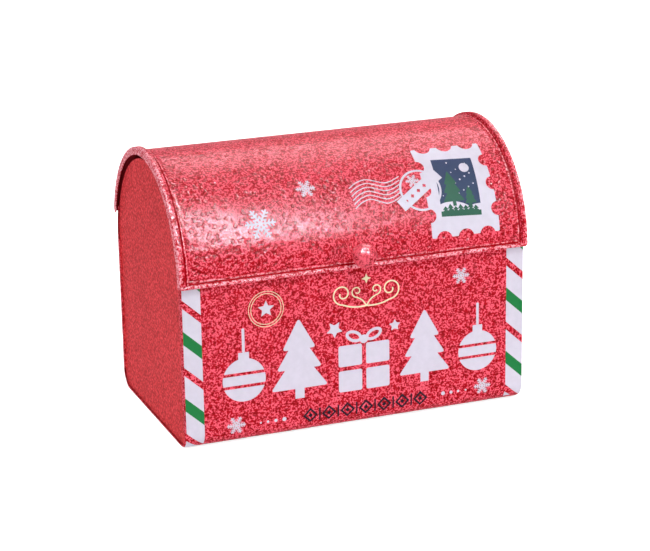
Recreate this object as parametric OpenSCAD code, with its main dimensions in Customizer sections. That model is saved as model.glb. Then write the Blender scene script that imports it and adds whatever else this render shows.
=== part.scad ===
// Tin money box: a folded sheet body with arched ends and a barrel lid that swings back on two hinges.
// The origin is the middle of the flat base, +Z is up, the front faces -Y and lengths are in millimetres.

/* [Sheet] */
// Thickness of the tinplate
sheet_t = 0.4; // [0.3:0.05:0.6]
// Width of the folded safe edges
hem_w = 3; // [2:0.5:5]

/* [Body] */
// Width of the body between its end seams
body_w = 180; // [140:1:240]
// Depth of the body between its front and back faces
body_d = 107; // [90:1:130]
// Height of the shoulders where the arches of the ends and back begin
spring_h = 79.6; // [70:0.1:80.5]
// Height of the back wall's curved top edge above the lid's back edge
back_lap = 3; // [1.5:0.1:8]
// Radius of the bends between the base and the front and back walls
base_r = 9.5; // [6:0.5:14]
// Radius of the bends between the walls and the end seams
seam_r = 1.2; // [0.8:0.1:2]
// Width of the seams folded over the end panels
seam_w = 3.2; // [2.6:0.1:6]
// Depth of the end panels behind the seams
panel_recess = 1; // [0.8:0.1:2]
// Clearance round the edge of an end panel
panel_gap = 0.05; // [0.02:0.01:0.1]

/* [Lid] */
// Height of the lid's front edge and of its vault's axis above the shoulders
lid_rise = 2.8; // [2:0.1:3.4]
// Height of the front wall behind the lid's front edge
front_lap = 2.2; // [1.6:0.1:2.4]
// Clearance between the vault and the front wall
lid_gap = 0.6; // [0.4:0.1:1.2]
// Clearance between the lips and the end seams
lip_gap = 0.6; // [0.4:0.1:1.5]
// Height of the end rims above the vault
rim_rise = 1.8; // [1.2:0.1:2.4]
// Width of the end rims
rim_w = 2.8; // [2.2:0.1:5]
// Depth of the lips turned in over the end panels
lip_d = 3.9; // [2.5:0.1:5]
// Radius of the rims' outer edges
rim_edge_r = 0.9; // [0.6:0.1:1.1]
// Radius of the rounded corners at the back of the rims
rim_corner_r = 2.4; // [1:0.1:3]
// Radius of the rolled front edge
roll_r = 1; // [0.8:0.1:1.2]
// Height of the stamped beads above the vault
bead_rise = 0.35; // [0.2:0.05:0.5]
// Width of the stamped beads
bead_w = 1.1; // [0.8:0.1:1.6]
// Distance from the edge of the rim or roll to the middle of its bead
bead_step = 1.2; // [1:0.1:3]

/* [Knob] */
// Diameter of the ball
knob_d = 12; // [9:0.5:16]
// Distance from the vault to the middle of the ball
knob_reach = 9.4; // [8.5:0.1:13]
// Diameter of the neck
knob_neck_d = 5.4; // [4.8:0.1:5.6]
// Diameter of the foot that stands on the lid
knob_foot_d = 6.8; // [6.2:0.1:7]
// Thickness of the foot
knob_foot_t = 1; // [0.8:0.1:1.6]
// Radius of the hollow between the foot and the neck
knob_fillet_r = 0.6; // [0.3:0.05:0.8]
// Angle of the knob above the lid's front edge
knob_tilt = 7.6; // [7.5:0.1:14]
// Diameter of the knob's screw
screw_d = 3; // [2.5:0.1:4]
// Length of the screw inside the knob
screw_grip = 9; // [6:0.5:10]
// Diameter of the screw's head
screw_head_d = 5.6; // [5:0.1:7]
// Height of the screw's head
screw_head_h = 2; // [1.5:0.1:3]
// Clearance round the screw in the lid
screw_gap = 0.2; // [0.1:0.05:0.4]
// Outer diameter of the washer
washer_d = 8; // [7.5:0.1:8.4]
// Thickness of the washer
washer_t = 0.6; // [0.4:0.1:1]

/* [Hinges] */
// Distance between the middle of a hinge and the end of the body
hinge_inset = 38; // [20:1:50]
// Width of a hinge
leaf_w = 22; // [18:0.5:30]
// Height of a hinge leaf on its sheet
leaf_h = 9; // [7:0.5:11]
// Thickness of a hinge leaf
leaf_t = 0.6; // [0.5:0.05:0.7]
// Height of the hinge axis above the axis of the vault
hinge_rise = 10.1; // [9:0.1:14]
// Diameter of a hinge pin
pin_d = 1.6; // [1.4:0.05:1.7]
// Clearance round the pin in the knuckles
pin_gap = 0.05; // [0.02:0.01:0.1]
// Wall of a knuckle
knuckle_t = 0.85; // [0.7:0.05:0.85]
// Clearance between neighbouring knuckles
knuckle_gap = 0.3; // [0.2:0.05:0.6]
// Clearance between the knuckles and the lid's back edge
edge_gap = 0.8; // [0.5:0.1:2]
// Height of the tongues between the body leaf's plate and its knuckles
tongue_h = 1.3; // [1:0.1:2]
// Diameter of the rounded ends of a pin
pin_head_d = 2.6; // [2.2:0.1:3]
// Thickness of the rounded ends of a pin
pin_head_t = 0.6; // [0.4:0.1:1]
// Diameter of a rivet
rivet_d = 1.8; // [1.4:0.1:2.4]
// Diameter of a rivet's heads
rivet_head_d = 3.6; // [3:0.1:4.4]
// Height of a rivet's outer head
rivet_head_h = 0.8; // [0.5:0.1:1]
// Distance between the two rivets of a leaf
rivet_pitch = 13; // [10:0.5:15]
// Clearance between a rivet's head and the lid's back hem
rivet_gap = 0.4; // [0.3:0.1:1]

/* [Hidden] */

LEFT = -1;
RIGHT = 1;
SIDES = [LEFT, RIGHT];
paint = "crimson";
steel = "silver";
cut = 1; // how far a cutting tool runs past what it cuts
round_fn = 96;
small_fn = 48;
arc_steps = 6;

// Heights
lid_h = spring_h + lid_rise;
front_h = lid_h + front_lap;
hinge_h = lid_h + hinge_rise;
pin_r = pin_d / 2;
bore_r = pin_r + pin_gap;
knuckle_r = bore_r + knuckle_t;
lid_back_h = hinge_h + knuckle_r + edge_gap;
back_h = lid_back_h + back_lap;

// Body
half_w = body_w / 2;
half_d = body_d / 2;
base_flat = half_d - base_r;
panel_out = half_w - panel_recess;
panel_in = panel_out - sheet_t;
panel_edge = sheet_t + panel_gap;
panel_r = half_d - panel_edge;
back_turn = asin((back_h - spring_h) / half_d);
fold_back = half_w - sheet_t - panel_out;
back_hem_turn = asin(hem_w / half_d);

// Lid
vault_in = half_d + lid_gap;
vault_out = vault_in + sheet_t;
rim_out = vault_out + rim_rise;
lip_in = half_w + lip_gap;
lid_half_w = lip_in + sheet_t;
lip_r = rim_out - lip_d;
lid_turn = asin((lid_back_h - lid_h) / vault_out);
lid_hem_turn = asin(hem_w / vault_out);
field_half_w = lid_half_w - rim_w - sheet_t;
bead_at = field_half_w - bead_step;

// Knob
washer_out = sqrt(pow(vault_in, 2) - pow(washer_d / 2, 2));
screw_seat = washer_out - washer_t;

// Hinges
hinge_pitch = body_w - 2 * hinge_inset;
lid_leaf_in = vault_in - leaf_t;
hinge_y = sqrt(pow(vault_in, 2) - pow(hinge_h - lid_h, 2)) + bore_r;
knuckle_w = (leaf_w - 2 * knuckle_gap) / 3;
body_leaf_out = half_d + leaf_t;
body_leaf_top = asin((hinge_h - knuckle_r - tongue_h - spring_h) / half_d);
body_leaf_low = body_leaf_top - 2 * asin(leaf_h / 2 / half_d);
lid_leaf_top = lid_turn + 2 * asin(leaf_h / 2 / vault_in);
lid_leaf_low = asin((hinge_h + knuckle_r + knuckle_gap - lid_h) / vault_in);
lid_tongue_low = asin((hinge_h + bore_r / 2 - lid_h) / vault_in);
body_rivet_turn = (body_leaf_low + body_leaf_top) / 2;
rivet_r = rivet_d / 2;
rivet_head_r = rivet_head_d / 2;
lid_rivet_turn = lid_turn + lid_hem_turn + asin((rivet_head_r + rivet_gap) / vault_out);

// Points of a circular arc in the plane
function arc(centre, r, from, to) =
    [for (i = [0:arc_steps]) let (a = from + (to - from) * i / arc_steps)
        centre + r * [cos(a), sin(a)]];

// Turns a shape drawn about Z so that it lies about X, with its zero angle towards the back
module about_x(height, turn = 0) {
    translate([0, 0, height])
        rotate([turn, 0, 0])
            rotate([90, 0, 90])
                children();
}

// Sheet of one profile, bent about X through a sweep that starts at an angle from the back
module bend(height, y, from, sweep) {
    translate([0, y, 0])
        about_x(height, from)
            rotate_extrude(angle = sweep, $fn = round_fn)
                children();
}

// Places a shape drawn along Z on a radius of an arch, with Z pointing out of the arch
module on_arch(height, turn, x = 0) {
    translate([x, 0, height])
        rotate([turn - 90, 0, 0])
            children();
}

// ---- Body ----

// Section of one turned edge of the body sheet: radius or reach first, then distance along the width
module edge_section(reach, fold) {
    polygon(concat(
        arc([reach - seam_r, half_w - seam_r], seam_r, 0, 90),
        [[reach - fold, half_w], [reach - fold, half_w - sheet_t]],
        arc([reach - seam_r, half_w - seam_r], seam_r - sheet_t, 90, 0)));
}

// Section across the body sheet: the wall and its two turned edges
module wall_section(reach, fold) {
    flat = half_w - seam_r;
    translate([reach - sheet_t, -flat])
        square([sheet_t, 2 * flat]);
    edge_section(reach, fold);
    mirror([0, 1])
        edge_section(reach, fold);
}

// A straight wall that faces an angle from the back, between two places along it measured from the
// end of the bend about X that it meets
module wall(height, y, turn, from, to, fold) {
    translate([0, y, 0])
        about_x(height, turn)
            rotate([-90, 0, 0])
                mirror([0, 1, 0])
                    translate([0, 0, from])
                        linear_extrude(to - from)
                            wall_section(base_r, fold);
}

// Safe edge that doubles the sheet along the top of the front wall, on its inner face
module front_hem() {
    translate([-half_w + seam_w, -half_d + sheet_t / 2, front_h - hem_w])
        cube([body_w - 2 * seam_w, 1.5 * sheet_t, hem_w]);
}

module body_wrap() {
    color(paint)
        difference() {
            union() {
                wall(base_r, -base_flat, 180, base_r - front_h, 0, seam_w);
                bend(base_r, -base_flat, 180, 90)
                    wall_section(base_r, seam_r);
                wall(base_r, -base_flat, 270, 0, 2 * base_flat, seam_r);
                bend(base_r, base_flat, 270, 90)
                    wall_section(base_r, seam_r);
                wall(base_r, base_flat, 0, 0, spring_h - base_r, seam_w);
                bend(spring_h, 0, 0, back_turn)
                    wall_section(half_d, seam_r);
                bend(spring_h, 0, back_turn - back_hem_turn, back_hem_turn)
                    translate([half_d - 2 * sheet_t, -half_w + seam_w])
                        square([1.5 * sheet_t, body_w - 2 * seam_w]);
                front_hem();
            }
            for (side = SIDES)
                rivet_holes(side, spring_h, body_rivet_turn, half_d);
        }
}

// Outline of an end panel, seen along the width: Y first, then Z
module panel_outline() {
    corner_r = base_r - panel_edge;
    translate([0, spring_h])
        intersection() {
            circle(panel_r, $fn = round_fn);
            translate([-half_d, 0])
                square([body_d, half_d]);
        }
    translate([-panel_r, base_r])
        square([2 * panel_r, spring_h - base_r]);
    translate([-base_flat, panel_edge])
        square([2 * base_flat, corner_r]);
    for (side = SIDES)
        translate([side * base_flat, base_r])
            intersection() {
                circle(corner_r, $fn = small_fn);
                translate([side < 0 ? -base_r : 0, -base_r])
                    square(base_r);
            }
}

// Safe edge folded back along the arch, on the inner face
module arch_hem() {
    intersection() {
        difference() {
            circle(panel_r, $fn = round_fn);
            circle(panel_r - hem_w, $fn = round_fn);
        }
        translate([-half_d, 0])
            square([body_d, half_d]);
    }
}

module end_panel(side) {
    tab_w = seam_w - seam_r;
    color(paint)
        rotate([90, 0, 90]) {
            translate([0, 0, side > 0 ? panel_in : -panel_out])
                linear_extrude(sheet_t)
                    panel_outline();
            translate([0, spring_h, side > 0 ? panel_in - sheet_t : -panel_in])
                linear_extrude(sheet_t)
                    arch_hem();
            for (wall_side = SIDES)
                translate([wall_side * (half_d - seam_r - tab_w / 2) - tab_w / 2, base_r,
                        side > 0 ? panel_out : -panel_out - fold_back])
                    cube([tab_w, spring_h - base_r, fold_back]);
        }
}

module left_end_panel() {
    end_panel(LEFT);
}

module right_end_panel() {
    end_panel(RIGHT);
}

// ---- Lid ----

// Stamped bead on the outer face of the vault: radius first, then distance along the width
module bead_section(r, at) {
    polygon([[r - sheet_t / 2, at - bead_w / 2], [r, at - bead_w / 2],
        [r + bead_rise, at - bead_w / 6], [r + bead_rise, at + bead_w / 6],
        [r, at + bead_w / 2], [r - sheet_t / 2, at + bead_w / 2]]);
}

// Section of one end rim: the sheet steps up, runs out and turns down into the lip
module rim_section() {
    rim_start = lid_half_w - rim_w;
    edge = [rim_out - rim_edge_r, lid_half_w - rim_edge_r];
    polygon(concat(
        [[vault_in, rim_start - sheet_t], [vault_out, rim_start - sheet_t],
            [rim_out, rim_start]],
        arc(edge, rim_edge_r, 0, 90),
        [[lip_r, lid_half_w], [lip_r, lip_in]],
        arc(edge, rim_edge_r - sheet_t, 90, 0),
        [[rim_out - sheet_t, rim_start + sheet_t], [vault_in, rim_start]]));
}

// Section across the lid: the vault, its end rims and the beads beside them
module lid_section() {
    translate([vault_in, -field_half_w])
        square([sheet_t, 2 * field_half_w]);
    for (side = SIDES)
        mirror([0, side < 0 ? 1 : 0]) {
            rim_section();
            bead_section(vault_out, bead_at);
        }
}

// Rolled edge and its bead along the front of the lid
module front_roll() {
    roll_w = lid_half_w - rim_edge_r;
    bead_turn = 180 - 2 * asin((2 * roll_r + bead_step) / 2 / vault_out);
    translate([-roll_w, -rim_out + roll_r, lid_h + roll_r])
        rotate([0, 90, 0])
            cylinder(h = 2 * roll_w, r = roll_r, $fn = small_fn);
    on_arch(lid_h, bead_turn)
        translate([-bead_at, 0, vault_out - sheet_t / 2])
            rotate([0, 90, 0])
                rotate([0, 0, 90])
                    linear_extrude(2 * bead_at)
                        polygon([[-bead_w / 2, 0], [bead_w / 2, 0],
                            [bead_w / 6, bead_rise + sheet_t / 2],
                            [-bead_w / 6, bead_rise + sheet_t / 2]]);
}

// Tool that rounds the corner between a rim and the lid's back edge
module rim_corner_cut(side) {
    corner = [rim_out, 0];
    centre = corner + [-rim_corner_r, rim_corner_r];
    cut_w = rim_w + sheet_t / 2 + cut;
    translate([side > 0 ? lid_half_w + cut - cut_w : -lid_half_w - cut, 0, lid_h])
        rotate([lid_turn, 0, 0])
            rotate([90, 0, 90])
                linear_extrude(cut_w)
                    polygon(concat(
                        [corner + [cut, -cut], corner + [cut, rim_corner_r]],
                        arc(centre, rim_corner_r, 0, -90),
                        [corner + [-rim_corner_r, -cut]]));
}

module lid_shell() {
    color(paint)
        difference() {
            union() {
                bend(lid_h, 0, lid_turn, 180 - lid_turn)
                    lid_section();
                bend(lid_h, 0, lid_turn, lid_hem_turn)
                    translate([vault_out - sheet_t / 2, -bead_at + bead_w])
                        square([1.5 * sheet_t, 2 * (bead_at - bead_w)]);
                front_roll();
            }
            on_arch(lid_h, 180 - knob_tilt)
                translate([0, 0, vault_in - cut])
                    cylinder(h = sheet_t + 2 * cut, d = screw_d + 2 * screw_gap, $fn = small_fn);
            for (side = SIDES) {
                rivet_holes(side, lid_h, lid_rivet_turn, vault_in);
                rim_corner_cut(side);
            }
        }
}

// ---- Knob ----

module knob() {
    neck_r = knob_neck_d / 2;
    foot_r = knob_foot_d / 2;
    fillet_r = min(knob_fillet_r, foot_r - neck_r);
    color(paint)
        on_arch(lid_h, 180 - knob_tilt)
            translate([0, 0, vault_out])
                difference() {
                    union() {
                        translate([0, 0, knob_reach])
                            sphere(d = knob_d, $fn = round_fn);
                        rotate_extrude($fn = round_fn)
                            polygon(concat(
                                [[0, knob_reach], [0, 0], [foot_r, 0], [foot_r, knob_foot_t]],
                                arc([neck_r + fillet_r, knob_foot_t + fillet_r], fillet_r, 270, 180),
                                [[neck_r, knob_reach]]));
                    }
                    translate([0, 0, -cut])
                        cylinder(h = screw_grip + cut, d = screw_d, $fn = small_fn);
                }
}

module knob_screw() {
    slot_w = screw_head_d / 6;
    color(steel)
        on_arch(lid_h, 180 - knob_tilt)
            difference() {
                union() {
                    translate([0, 0, screw_seat - screw_head_h])
                        cylinder(h = screw_head_h, d = screw_head_d, $fn = small_fn);
                    translate([0, 0, screw_seat])
                        cylinder(h = vault_out + screw_grip - screw_seat, d = screw_d, $fn = small_fn);
                }
                translate([-screw_head_d, -slot_w / 2, screw_seat - screw_head_h - cut])
                    cube([2 * screw_head_d, slot_w, screw_head_h / 2 + cut]);
            }
}

module knob_washer() {
    color(steel)
        on_arch(lid_h, 180 - knob_tilt)
            translate([0, 0, screw_seat])
                difference() {
                    cylinder(h = washer_t, d = washer_d, $fn = small_fn);
                    translate([0, 0, -cut])
                        cylinder(h = washer_t + 2 * cut, d = screw_d, $fn = small_fn);
                }
}

// ---- Hinges ----

// Knuckle on the hinge axis, of a width and centred at a place along the axis
module knuckle(x, width) {
    translate([x - width / 2, hinge_y, hinge_h])
        rotate([0, 90, 0])
            difference() {
                cylinder(h = width, r = knuckle_r, $fn = small_fn);
                translate([0, 0, -cut])
                    cylinder(h = width + 2 * cut, r = bore_r, $fn = small_fn);
            }
}

// Plate of a leaf, bent to an arch between two angles
module leaf_plate(height, r, from, to, x, width) {
    bend(height, 0, from, to - from)
        translate([r, x - width / 2])
            square([leaf_t, width]);
}

// Tools that drill the two rivet holes of a leaf
module rivet_holes(side, height, turn, r) {
    for (step = SIDES)
        on_arch(height, turn, (side * hinge_pitch + step * rivet_pitch) / 2)
            translate([0, 0, r - leaf_t - cut])
                cylinder(h = 2 * leaf_t + sheet_t + 2 * cut, r = rivet_r, $fn = small_fn);
}

// Point in the middle of a knuckle's wall, at an angle from the back
function in_knuckle(turn) =
    [hinge_y, hinge_h] + (bore_r + knuckle_t / 2) * [cos(turn), sin(turn)];

// Short arm that lifts the body leaf to its knuckle: Y first, then Z
module body_tongue(x, width) {
    foot_turn = body_leaf_top - asin(leaf_t / half_d);
    foot = [cos(foot_turn), sin(foot_turn)];
    foot_in = half_d + leaf_t / 4;
    foot_out = body_leaf_out - leaf_t / 4;
    translate([x - width / 2, 0, 0])
        rotate([90, 0, 90])
            linear_extrude(width)
                polygon([[0, spring_h] + foot_in * foot, [0, spring_h] + foot_out * foot,
                    in_knuckle(235), in_knuckle(195)]);
}

module body_leaf(side) {
    x = side * hinge_pitch / 2;
    step = (leaf_w - knuckle_w) / 2;
    color(steel)
        difference() {
            union() {
                leaf_plate(spring_h, half_d, body_leaf_low, body_leaf_top, x, leaf_w);
                for (end = SIDES) {
                    knuckle(x + end * step, knuckle_w);
                    body_tongue(x + end * step, knuckle_w);
                }
            }
            rivet_holes(side, spring_h, body_rivet_turn, half_d);
        }
}

// Tool that clears the lid leaf beside its tongue, for the body leaf's knuckles
module leaf_notch(x, width) {
    bend(lid_h, 0, 0, lid_leaf_low)
        translate([lid_leaf_in - cut, x - width / 2])
            square([leaf_t + 2 * cut, width]);
}

module lid_leaf(side) {
    x = side * hinge_pitch / 2;
    color(steel)
        difference() {
            union() {
                difference() {
                    leaf_plate(lid_h, lid_leaf_in, lid_tongue_low, lid_leaf_top, x, leaf_w);
                    for (end = SIDES)
                        leaf_notch(x + end * (knuckle_w / 2 + leaf_w), 2 * leaf_w);
                }
                knuckle(x, knuckle_w);
            }
            rivet_holes(side, lid_h, lid_rivet_turn, vault_in);
        }
}

module hinge_pin(side) {
    x = side * hinge_pitch / 2;
    color(steel)
        translate([x, hinge_y, hinge_h])
            rotate([0, 90, 0]) {
                translate([0, 0, -leaf_w / 2])
                    cylinder(h = leaf_w, r = pin_r, $fn = small_fn);
                for (end = SIDES)
                    translate([0, 0, end * (leaf_w + pin_head_t) / 2 - pin_head_t / 2])
                        cylinder(h = pin_head_t, d = pin_head_d, $fn = small_fn);
            }
}

// The two rivets of a leaf, through a stack that reaches from one radius of the arch to another
module rivets(side, height, turn, stack_in, stack_out) {
    inner_seat = sqrt(pow(stack_in, 2) - pow(rivet_head_r, 2));
    color(steel)
        for (step = SIDES)
            on_arch(height, turn, (side * hinge_pitch + step * rivet_pitch) / 2) {
                translate([0, 0, inner_seat - rivet_head_h / 4])
                    cylinder(h = stack_out - inner_seat + rivet_head_h / 2, r = rivet_r, $fn = small_fn);
                translate([0, 0, inner_seat - rivet_head_h / 2])
                    cylinder(h = rivet_head_h / 2, r = rivet_head_r, $fn = small_fn);
                translate([0, 0, stack_out])
                    rivet_head();
            }
}

// Domed outer head of a rivet
module rivet_head() {
    dome_r = (pow(rivet_head_r, 2) + pow(rivet_head_h, 2)) / 2 / rivet_head_h;
    intersection() {
        translate([0, 0, rivet_head_h - dome_r])
            sphere(r = dome_r, $fn = small_fn);
        cylinder(h = rivet_head_h + cut, r = rivet_head_r + cut, $fn = small_fn);
    }
}

module left_body_leaf() {
    body_leaf(LEFT);
}

module right_body_leaf() {
    body_leaf(RIGHT);
}

module left_lid_leaf() {
    lid_leaf(LEFT);
}

module right_lid_leaf() {
    lid_leaf(RIGHT);
}

module left_hinge_pin() {
    hinge_pin(LEFT);
}

module right_hinge_pin() {
    hinge_pin(RIGHT);
}

module left_body_rivets() {
    rivets(LEFT, spring_h, body_rivet_turn, half_d - sheet_t, body_leaf_out);
}

module right_body_rivets() {
    rivets(RIGHT, spring_h, body_rivet_turn, half_d - sheet_t, body_leaf_out);
}

module left_lid_rivets() {
    rivets(LEFT, lid_h, lid_rivet_turn, lid_leaf_in, vault_out);
}

module right_lid_rivets() {
    rivets(RIGHT, lid_h, lid_rivet_turn, lid_leaf_in, vault_out);
}

body_wrap();
left_end_panel();
right_end_panel();
lid_shell();
knob();
knob_screw();
knob_washer();
left_body_leaf();
right_body_leaf();
left_lid_leaf();
right_lid_leaf();
left_hinge_pin();
right_hinge_pin();
left_body_rivets();
right_body_rivets();
left_lid_rivets();
right_lid_rivets();
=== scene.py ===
"""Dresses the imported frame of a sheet-tin money box: hammered enamel sheets, screen prints, plated hinges.

Lengths are in metres. X runs along the box, -Y is the front and Z is up.
"""
import math

import bmesh
import bpy
from mathutils import Matrix, Vector


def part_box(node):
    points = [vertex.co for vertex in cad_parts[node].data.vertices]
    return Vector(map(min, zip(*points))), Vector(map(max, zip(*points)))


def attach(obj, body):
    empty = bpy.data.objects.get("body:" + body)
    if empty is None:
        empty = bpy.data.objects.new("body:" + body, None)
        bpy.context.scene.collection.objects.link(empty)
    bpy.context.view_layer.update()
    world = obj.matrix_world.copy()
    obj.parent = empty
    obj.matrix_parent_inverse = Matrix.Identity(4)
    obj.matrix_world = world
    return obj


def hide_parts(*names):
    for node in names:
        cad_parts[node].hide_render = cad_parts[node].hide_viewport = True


bl_info = {
    "name": "Festive Tin Money Box",
    "version": (1, 0, 0),
    "blender": (4, 5, 0),
    "location": "3D View > Sidebar > Tin Box",
    "description": "Builds the hammered sheets, prints and stage round the frame of a hinged tin money box",
    "category": "Object",
}

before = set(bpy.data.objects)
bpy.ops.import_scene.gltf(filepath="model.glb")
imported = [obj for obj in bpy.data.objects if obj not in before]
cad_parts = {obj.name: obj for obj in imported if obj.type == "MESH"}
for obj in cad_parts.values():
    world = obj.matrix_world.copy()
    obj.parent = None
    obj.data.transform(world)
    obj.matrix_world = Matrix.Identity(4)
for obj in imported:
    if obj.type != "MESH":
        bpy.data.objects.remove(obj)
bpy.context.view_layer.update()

MM = 0.001
TINY = 1e-6
QUARTER = math.radians(90)
HALF_TURN = math.radians(180)

# Heights across a stamped bead, as shares of its rise, at steps of a quarter of its width
BEAD_PROFILE = (-0.4, 0.5, 1.0, 1.0, 0.5, -0.4, 0.0)

# Slots of a sheet's enamels: outside, inside, in the grooves with painted shade, and on the crests with
# painted highlight
OUTSIDE, INSIDE, GROOVES, CRESTS = range(4)

# Sizes that the frame gives. The shoulder is where the end panels' straight sides meet their arch
_, BODY_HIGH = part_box("body_wrap")
_, PANEL_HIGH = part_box("left_end_panel")
LID_LOW, LID_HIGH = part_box("lid_shell")
HALF_W = BODY_HIGH.x
HALF_D = BODY_HIGH.y
BACK_H = BODY_HIGH.z
SHOULDER_H = PANEL_HIGH.z - PANEL_HIGH.y
RIM_R = -LID_LOW.y
LID_H = LID_HIGH.z - RIM_R
LID_HALF_W = LID_HIGH.x
LID_BACK_H = min(v.co.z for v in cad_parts["lid_shell"].data.vertices if v.co.y > 0)

# Turn of the back wall where it follows the end panels' arch
BACK_ARCH = math.asin((BACK_H - SHOULDER_H) / HALF_D)


# ---- Settings ----


def length(name, text, value):
    """A length property whose default is given in millimetres."""
    return bpy.props.FloatProperty(
        name=name, description=text, default=value * MM, unit="LENGTH", precision=5
    )


def angle(name, text, value):
    """An angle property whose default is given in degrees."""
    return bpy.props.FloatProperty(
        name=name, description=text, default=math.radians(value), subtype="ANGLE", unit="ROTATION"
    )


def colour(name, text, value):
    """A colour property in linear light."""
    return bpy.props.FloatVectorProperty(
        name=name, description=text, default=value, size=3, min=0, max=1, subtype="COLOR"
    )


def number(name, text, value):
    """A plain number property."""
    return bpy.props.FloatProperty(name=name, description=text, default=value)


class TinSheetSizes(bpy.types.PropertyGroup):
    """Sizes of the bent sheets"""

    thickness: length("Thickness", "Thickness of the tinplate", 0.4)
    grid: length("Grid", "Width of the mesh cells that carry the hammered relief", 0.72)
    base_r: length("Base Bend", "Radius of the bends between the base and the walls", 9.5)
    seam_r: length("Seam Bend", "Radius of the bends between the walls and the end seams", 1.2)
    seam_w: length("Seam Width", "Width of the seams folded over the end panels", 3.2)
    hem_w: length("Hem Width", "Width of the folded safe edges", 3.0)
    front_lap: length("Front Lap", "Height of the front wall behind the lid's front edge", 2.2)
    vault_r: length("Vault Radius", "Outer radius of the lid's vault", 54.5)
    rim_w: length("Rim Width", "Width of the lid's end rims", 2.8)
    rim_edge_r: length("Rim Edge", "Radius of the rims' outer edges", 0.9)
    lip_d: length("Lip Depth", "Depth of the lips turned in over the end panels", 3.9)
    roll_r: length("Roll Radius", "Radius of the rolled front edge", 1.0)
    corner_r: length("Rim Corner", "Radius of the rounded ends of the rims", 2.0)
    bead_rise: length("Bead Rise", "Height of the stamped beads", 0.4)
    bead_w: length("Bead Width", "Width of the stamped beads", 1.1)
    bead_step: length("Bead Step", "Distance from the rim or roll to the middle of its bead", 1.2)


class TinKnobSizes(bpy.types.PropertyGroup):
    """Sizes of the knob"""

    ball_r: length("Ball Radius", "Radius of the ball", 6.0)
    reach: length("Reach", "Distance from the vault to the middle of the ball", 9.4)
    neck_r: length("Neck Radius", "Radius of the neck", 2.7)
    foot_r: length("Foot Radius", "Radius of the foot", 3.4)
    foot_t: length("Foot Thickness", "Thickness of the foot", 1.0)
    tilt: angle("Tilt", "Angle of the knob above the lid's front edge", 7.6)


class TinPaintLook(bpy.types.PropertyGroup):
    """Look of the enamel"""

    pitch: length("Dimple Pitch", "Distance between the dimples of the hammered enamel", 2.7)
    depth: length("Dimple Depth", "Depth of the dimples in the sheet", 0.07)
    # Pit and ridge colours carry the enamel's own pattern, and also painted shade in the dimples and painted
    # highlight on the ridges
    pit: colour("Pit Colour", "Enamel in the bottom of the dimples", (0.25, 0.0, 0.002))
    field: colour("Field Colour", "Enamel on the sides of the dimples", (0.46, 0.002, 0.010))
    ridge: colour("Ridge Colour", "Enamel on the ridges between the dimples", (0.83, 0.10, 0.145))
    # Lighter enamel on the crests, beads and roll: thinner enamel there, with painted highlight
    edge: colour("Edge Highlight Colour", "Thin enamel on the crests of the beads, rims and roll", (0.88, 0.35, 0.40))
    # Painted highlight: the lighter field of the edge enamel and of the knob enamel
    lighter: colour("Flank Highlight Colour", "Enamel on the flanks of the rims, roll and knob", (0.72, 0.075, 0.105))
    # Painted shade: darker enamel in the grooves beside the beads and rims
    pooled_shade: colour("Pooled Shade Colour", "Enamel that has run into the grooves", (0.36, 0.001, 0.006))
    plain: colour("Plain Colour", "Enamel of the end panels", (0.68, 0.036, 0.042))
    inside: colour("Inside Colour", "Enamel inside the box", (0.34, 0.012, 0.018))


class TinPrintLook(bpy.types.PropertyGroup):
    """Sizes and inks of the prints"""

    ink_t: length("Ink Thickness", "Thickness of a layer of ink", 0.05)
    band_x: length("Band Middle", "Distance from the box's middle to the middle of a striped band", 84.9)
    band_w: length("Band Width", "Width of a striped band", 9.2)
    white: colour("White Ink", "Colour of the white prints", (0.62, 0.555, 0.63))
    green: colour("Green Ink", "Colour of the green stripes", (0.016, 0.175, 0.045))
    gold: colour("Gold Ink", "Colour of the gold prints", (0.78, 0.70, 0.45))
    dark: colour("Dark Ink", "Colour of the dark prints", (0.012, 0.01, 0.018))
    night: colour("Night Ink", "Sky of the stamp's picture", (0.022, 0.032, 0.085))
    fir: colour("Fir Ink", "Trees of the stamp's picture", (0.02, 0.085, 0.045))


class TinStageLook(bpy.types.PropertyGroup):
    """Camera, lamps and floor"""

    distance: length("Camera Distance", "Distance from the camera to the point it looks at", 1065.62)
    target_h: length("Target Height", "Height of the point that the camera looks at", 72.0)
    azimuth: angle("Azimuth", "Turn of the camera to the left of the front", 20.9916)
    elevation: angle("Elevation", "Angle of the camera above the level", 16.6723)
    roll: angle("Roll", "Turn of the camera about its line of sight", -1.0315)
    lens: number("Lens", "Focal length of the camera in millimetres", 115.92)
    shift_x: number("Shift X", "Sideways shift of the frame", 0.01137)
    shift_y: number("Shift Y", "Upward shift of the frame", -0.0260)
    sky: number("Sky Strength", "Strength of the even light round the box", 0.34)
    key: number("Key Power", "Power of the lamp in front in watts", 8.7)
    upper: number("Upper Power", "Power of the lamp above the front in watts", 4.3)
    fill: number("Fill Power", "Power of the lamp at the left in watts", 5.7)
    back: number("Back Power", "Power of the lamp behind the box in watts", 4.0)
    strip: number("Strip Power", "Power of the tall lamp that only gloss shows, in watts", 60.0)
    top: number("Top Power", "Power of the lamp above that only gloss shows, in watts", 260.0)
    far: number("Far Power", "Power of the lamp behind that only gloss shows, in watts", 34.0)


def settings(group):
    """The scene's settings of a group."""
    return getattr(bpy.context.scene, "tin_" + group)


# ---- Modelling by hand: selection, sweeps and modifiers ----


def deselect_all():
    """Deselects every object."""
    bpy.ops.object.select_all(action="DESELECT")


def select_only(piece):
    """Selects one object and makes it the active one."""
    deselect_all()
    piece.select_set(True)
    bpy.context.view_layer.objects.active = piece


def edit():
    """Enters edit mode."""
    bpy.ops.object.mode_set(mode="EDIT")


def leave_edit():
    """Goes back to object mode."""
    bpy.ops.object.mode_set(mode="OBJECT")


def name_active(name):
    """Gives the active object and its mesh a name."""
    piece = bpy.context.object
    piece.name = name
    piece.data.name = name
    return piece


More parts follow.
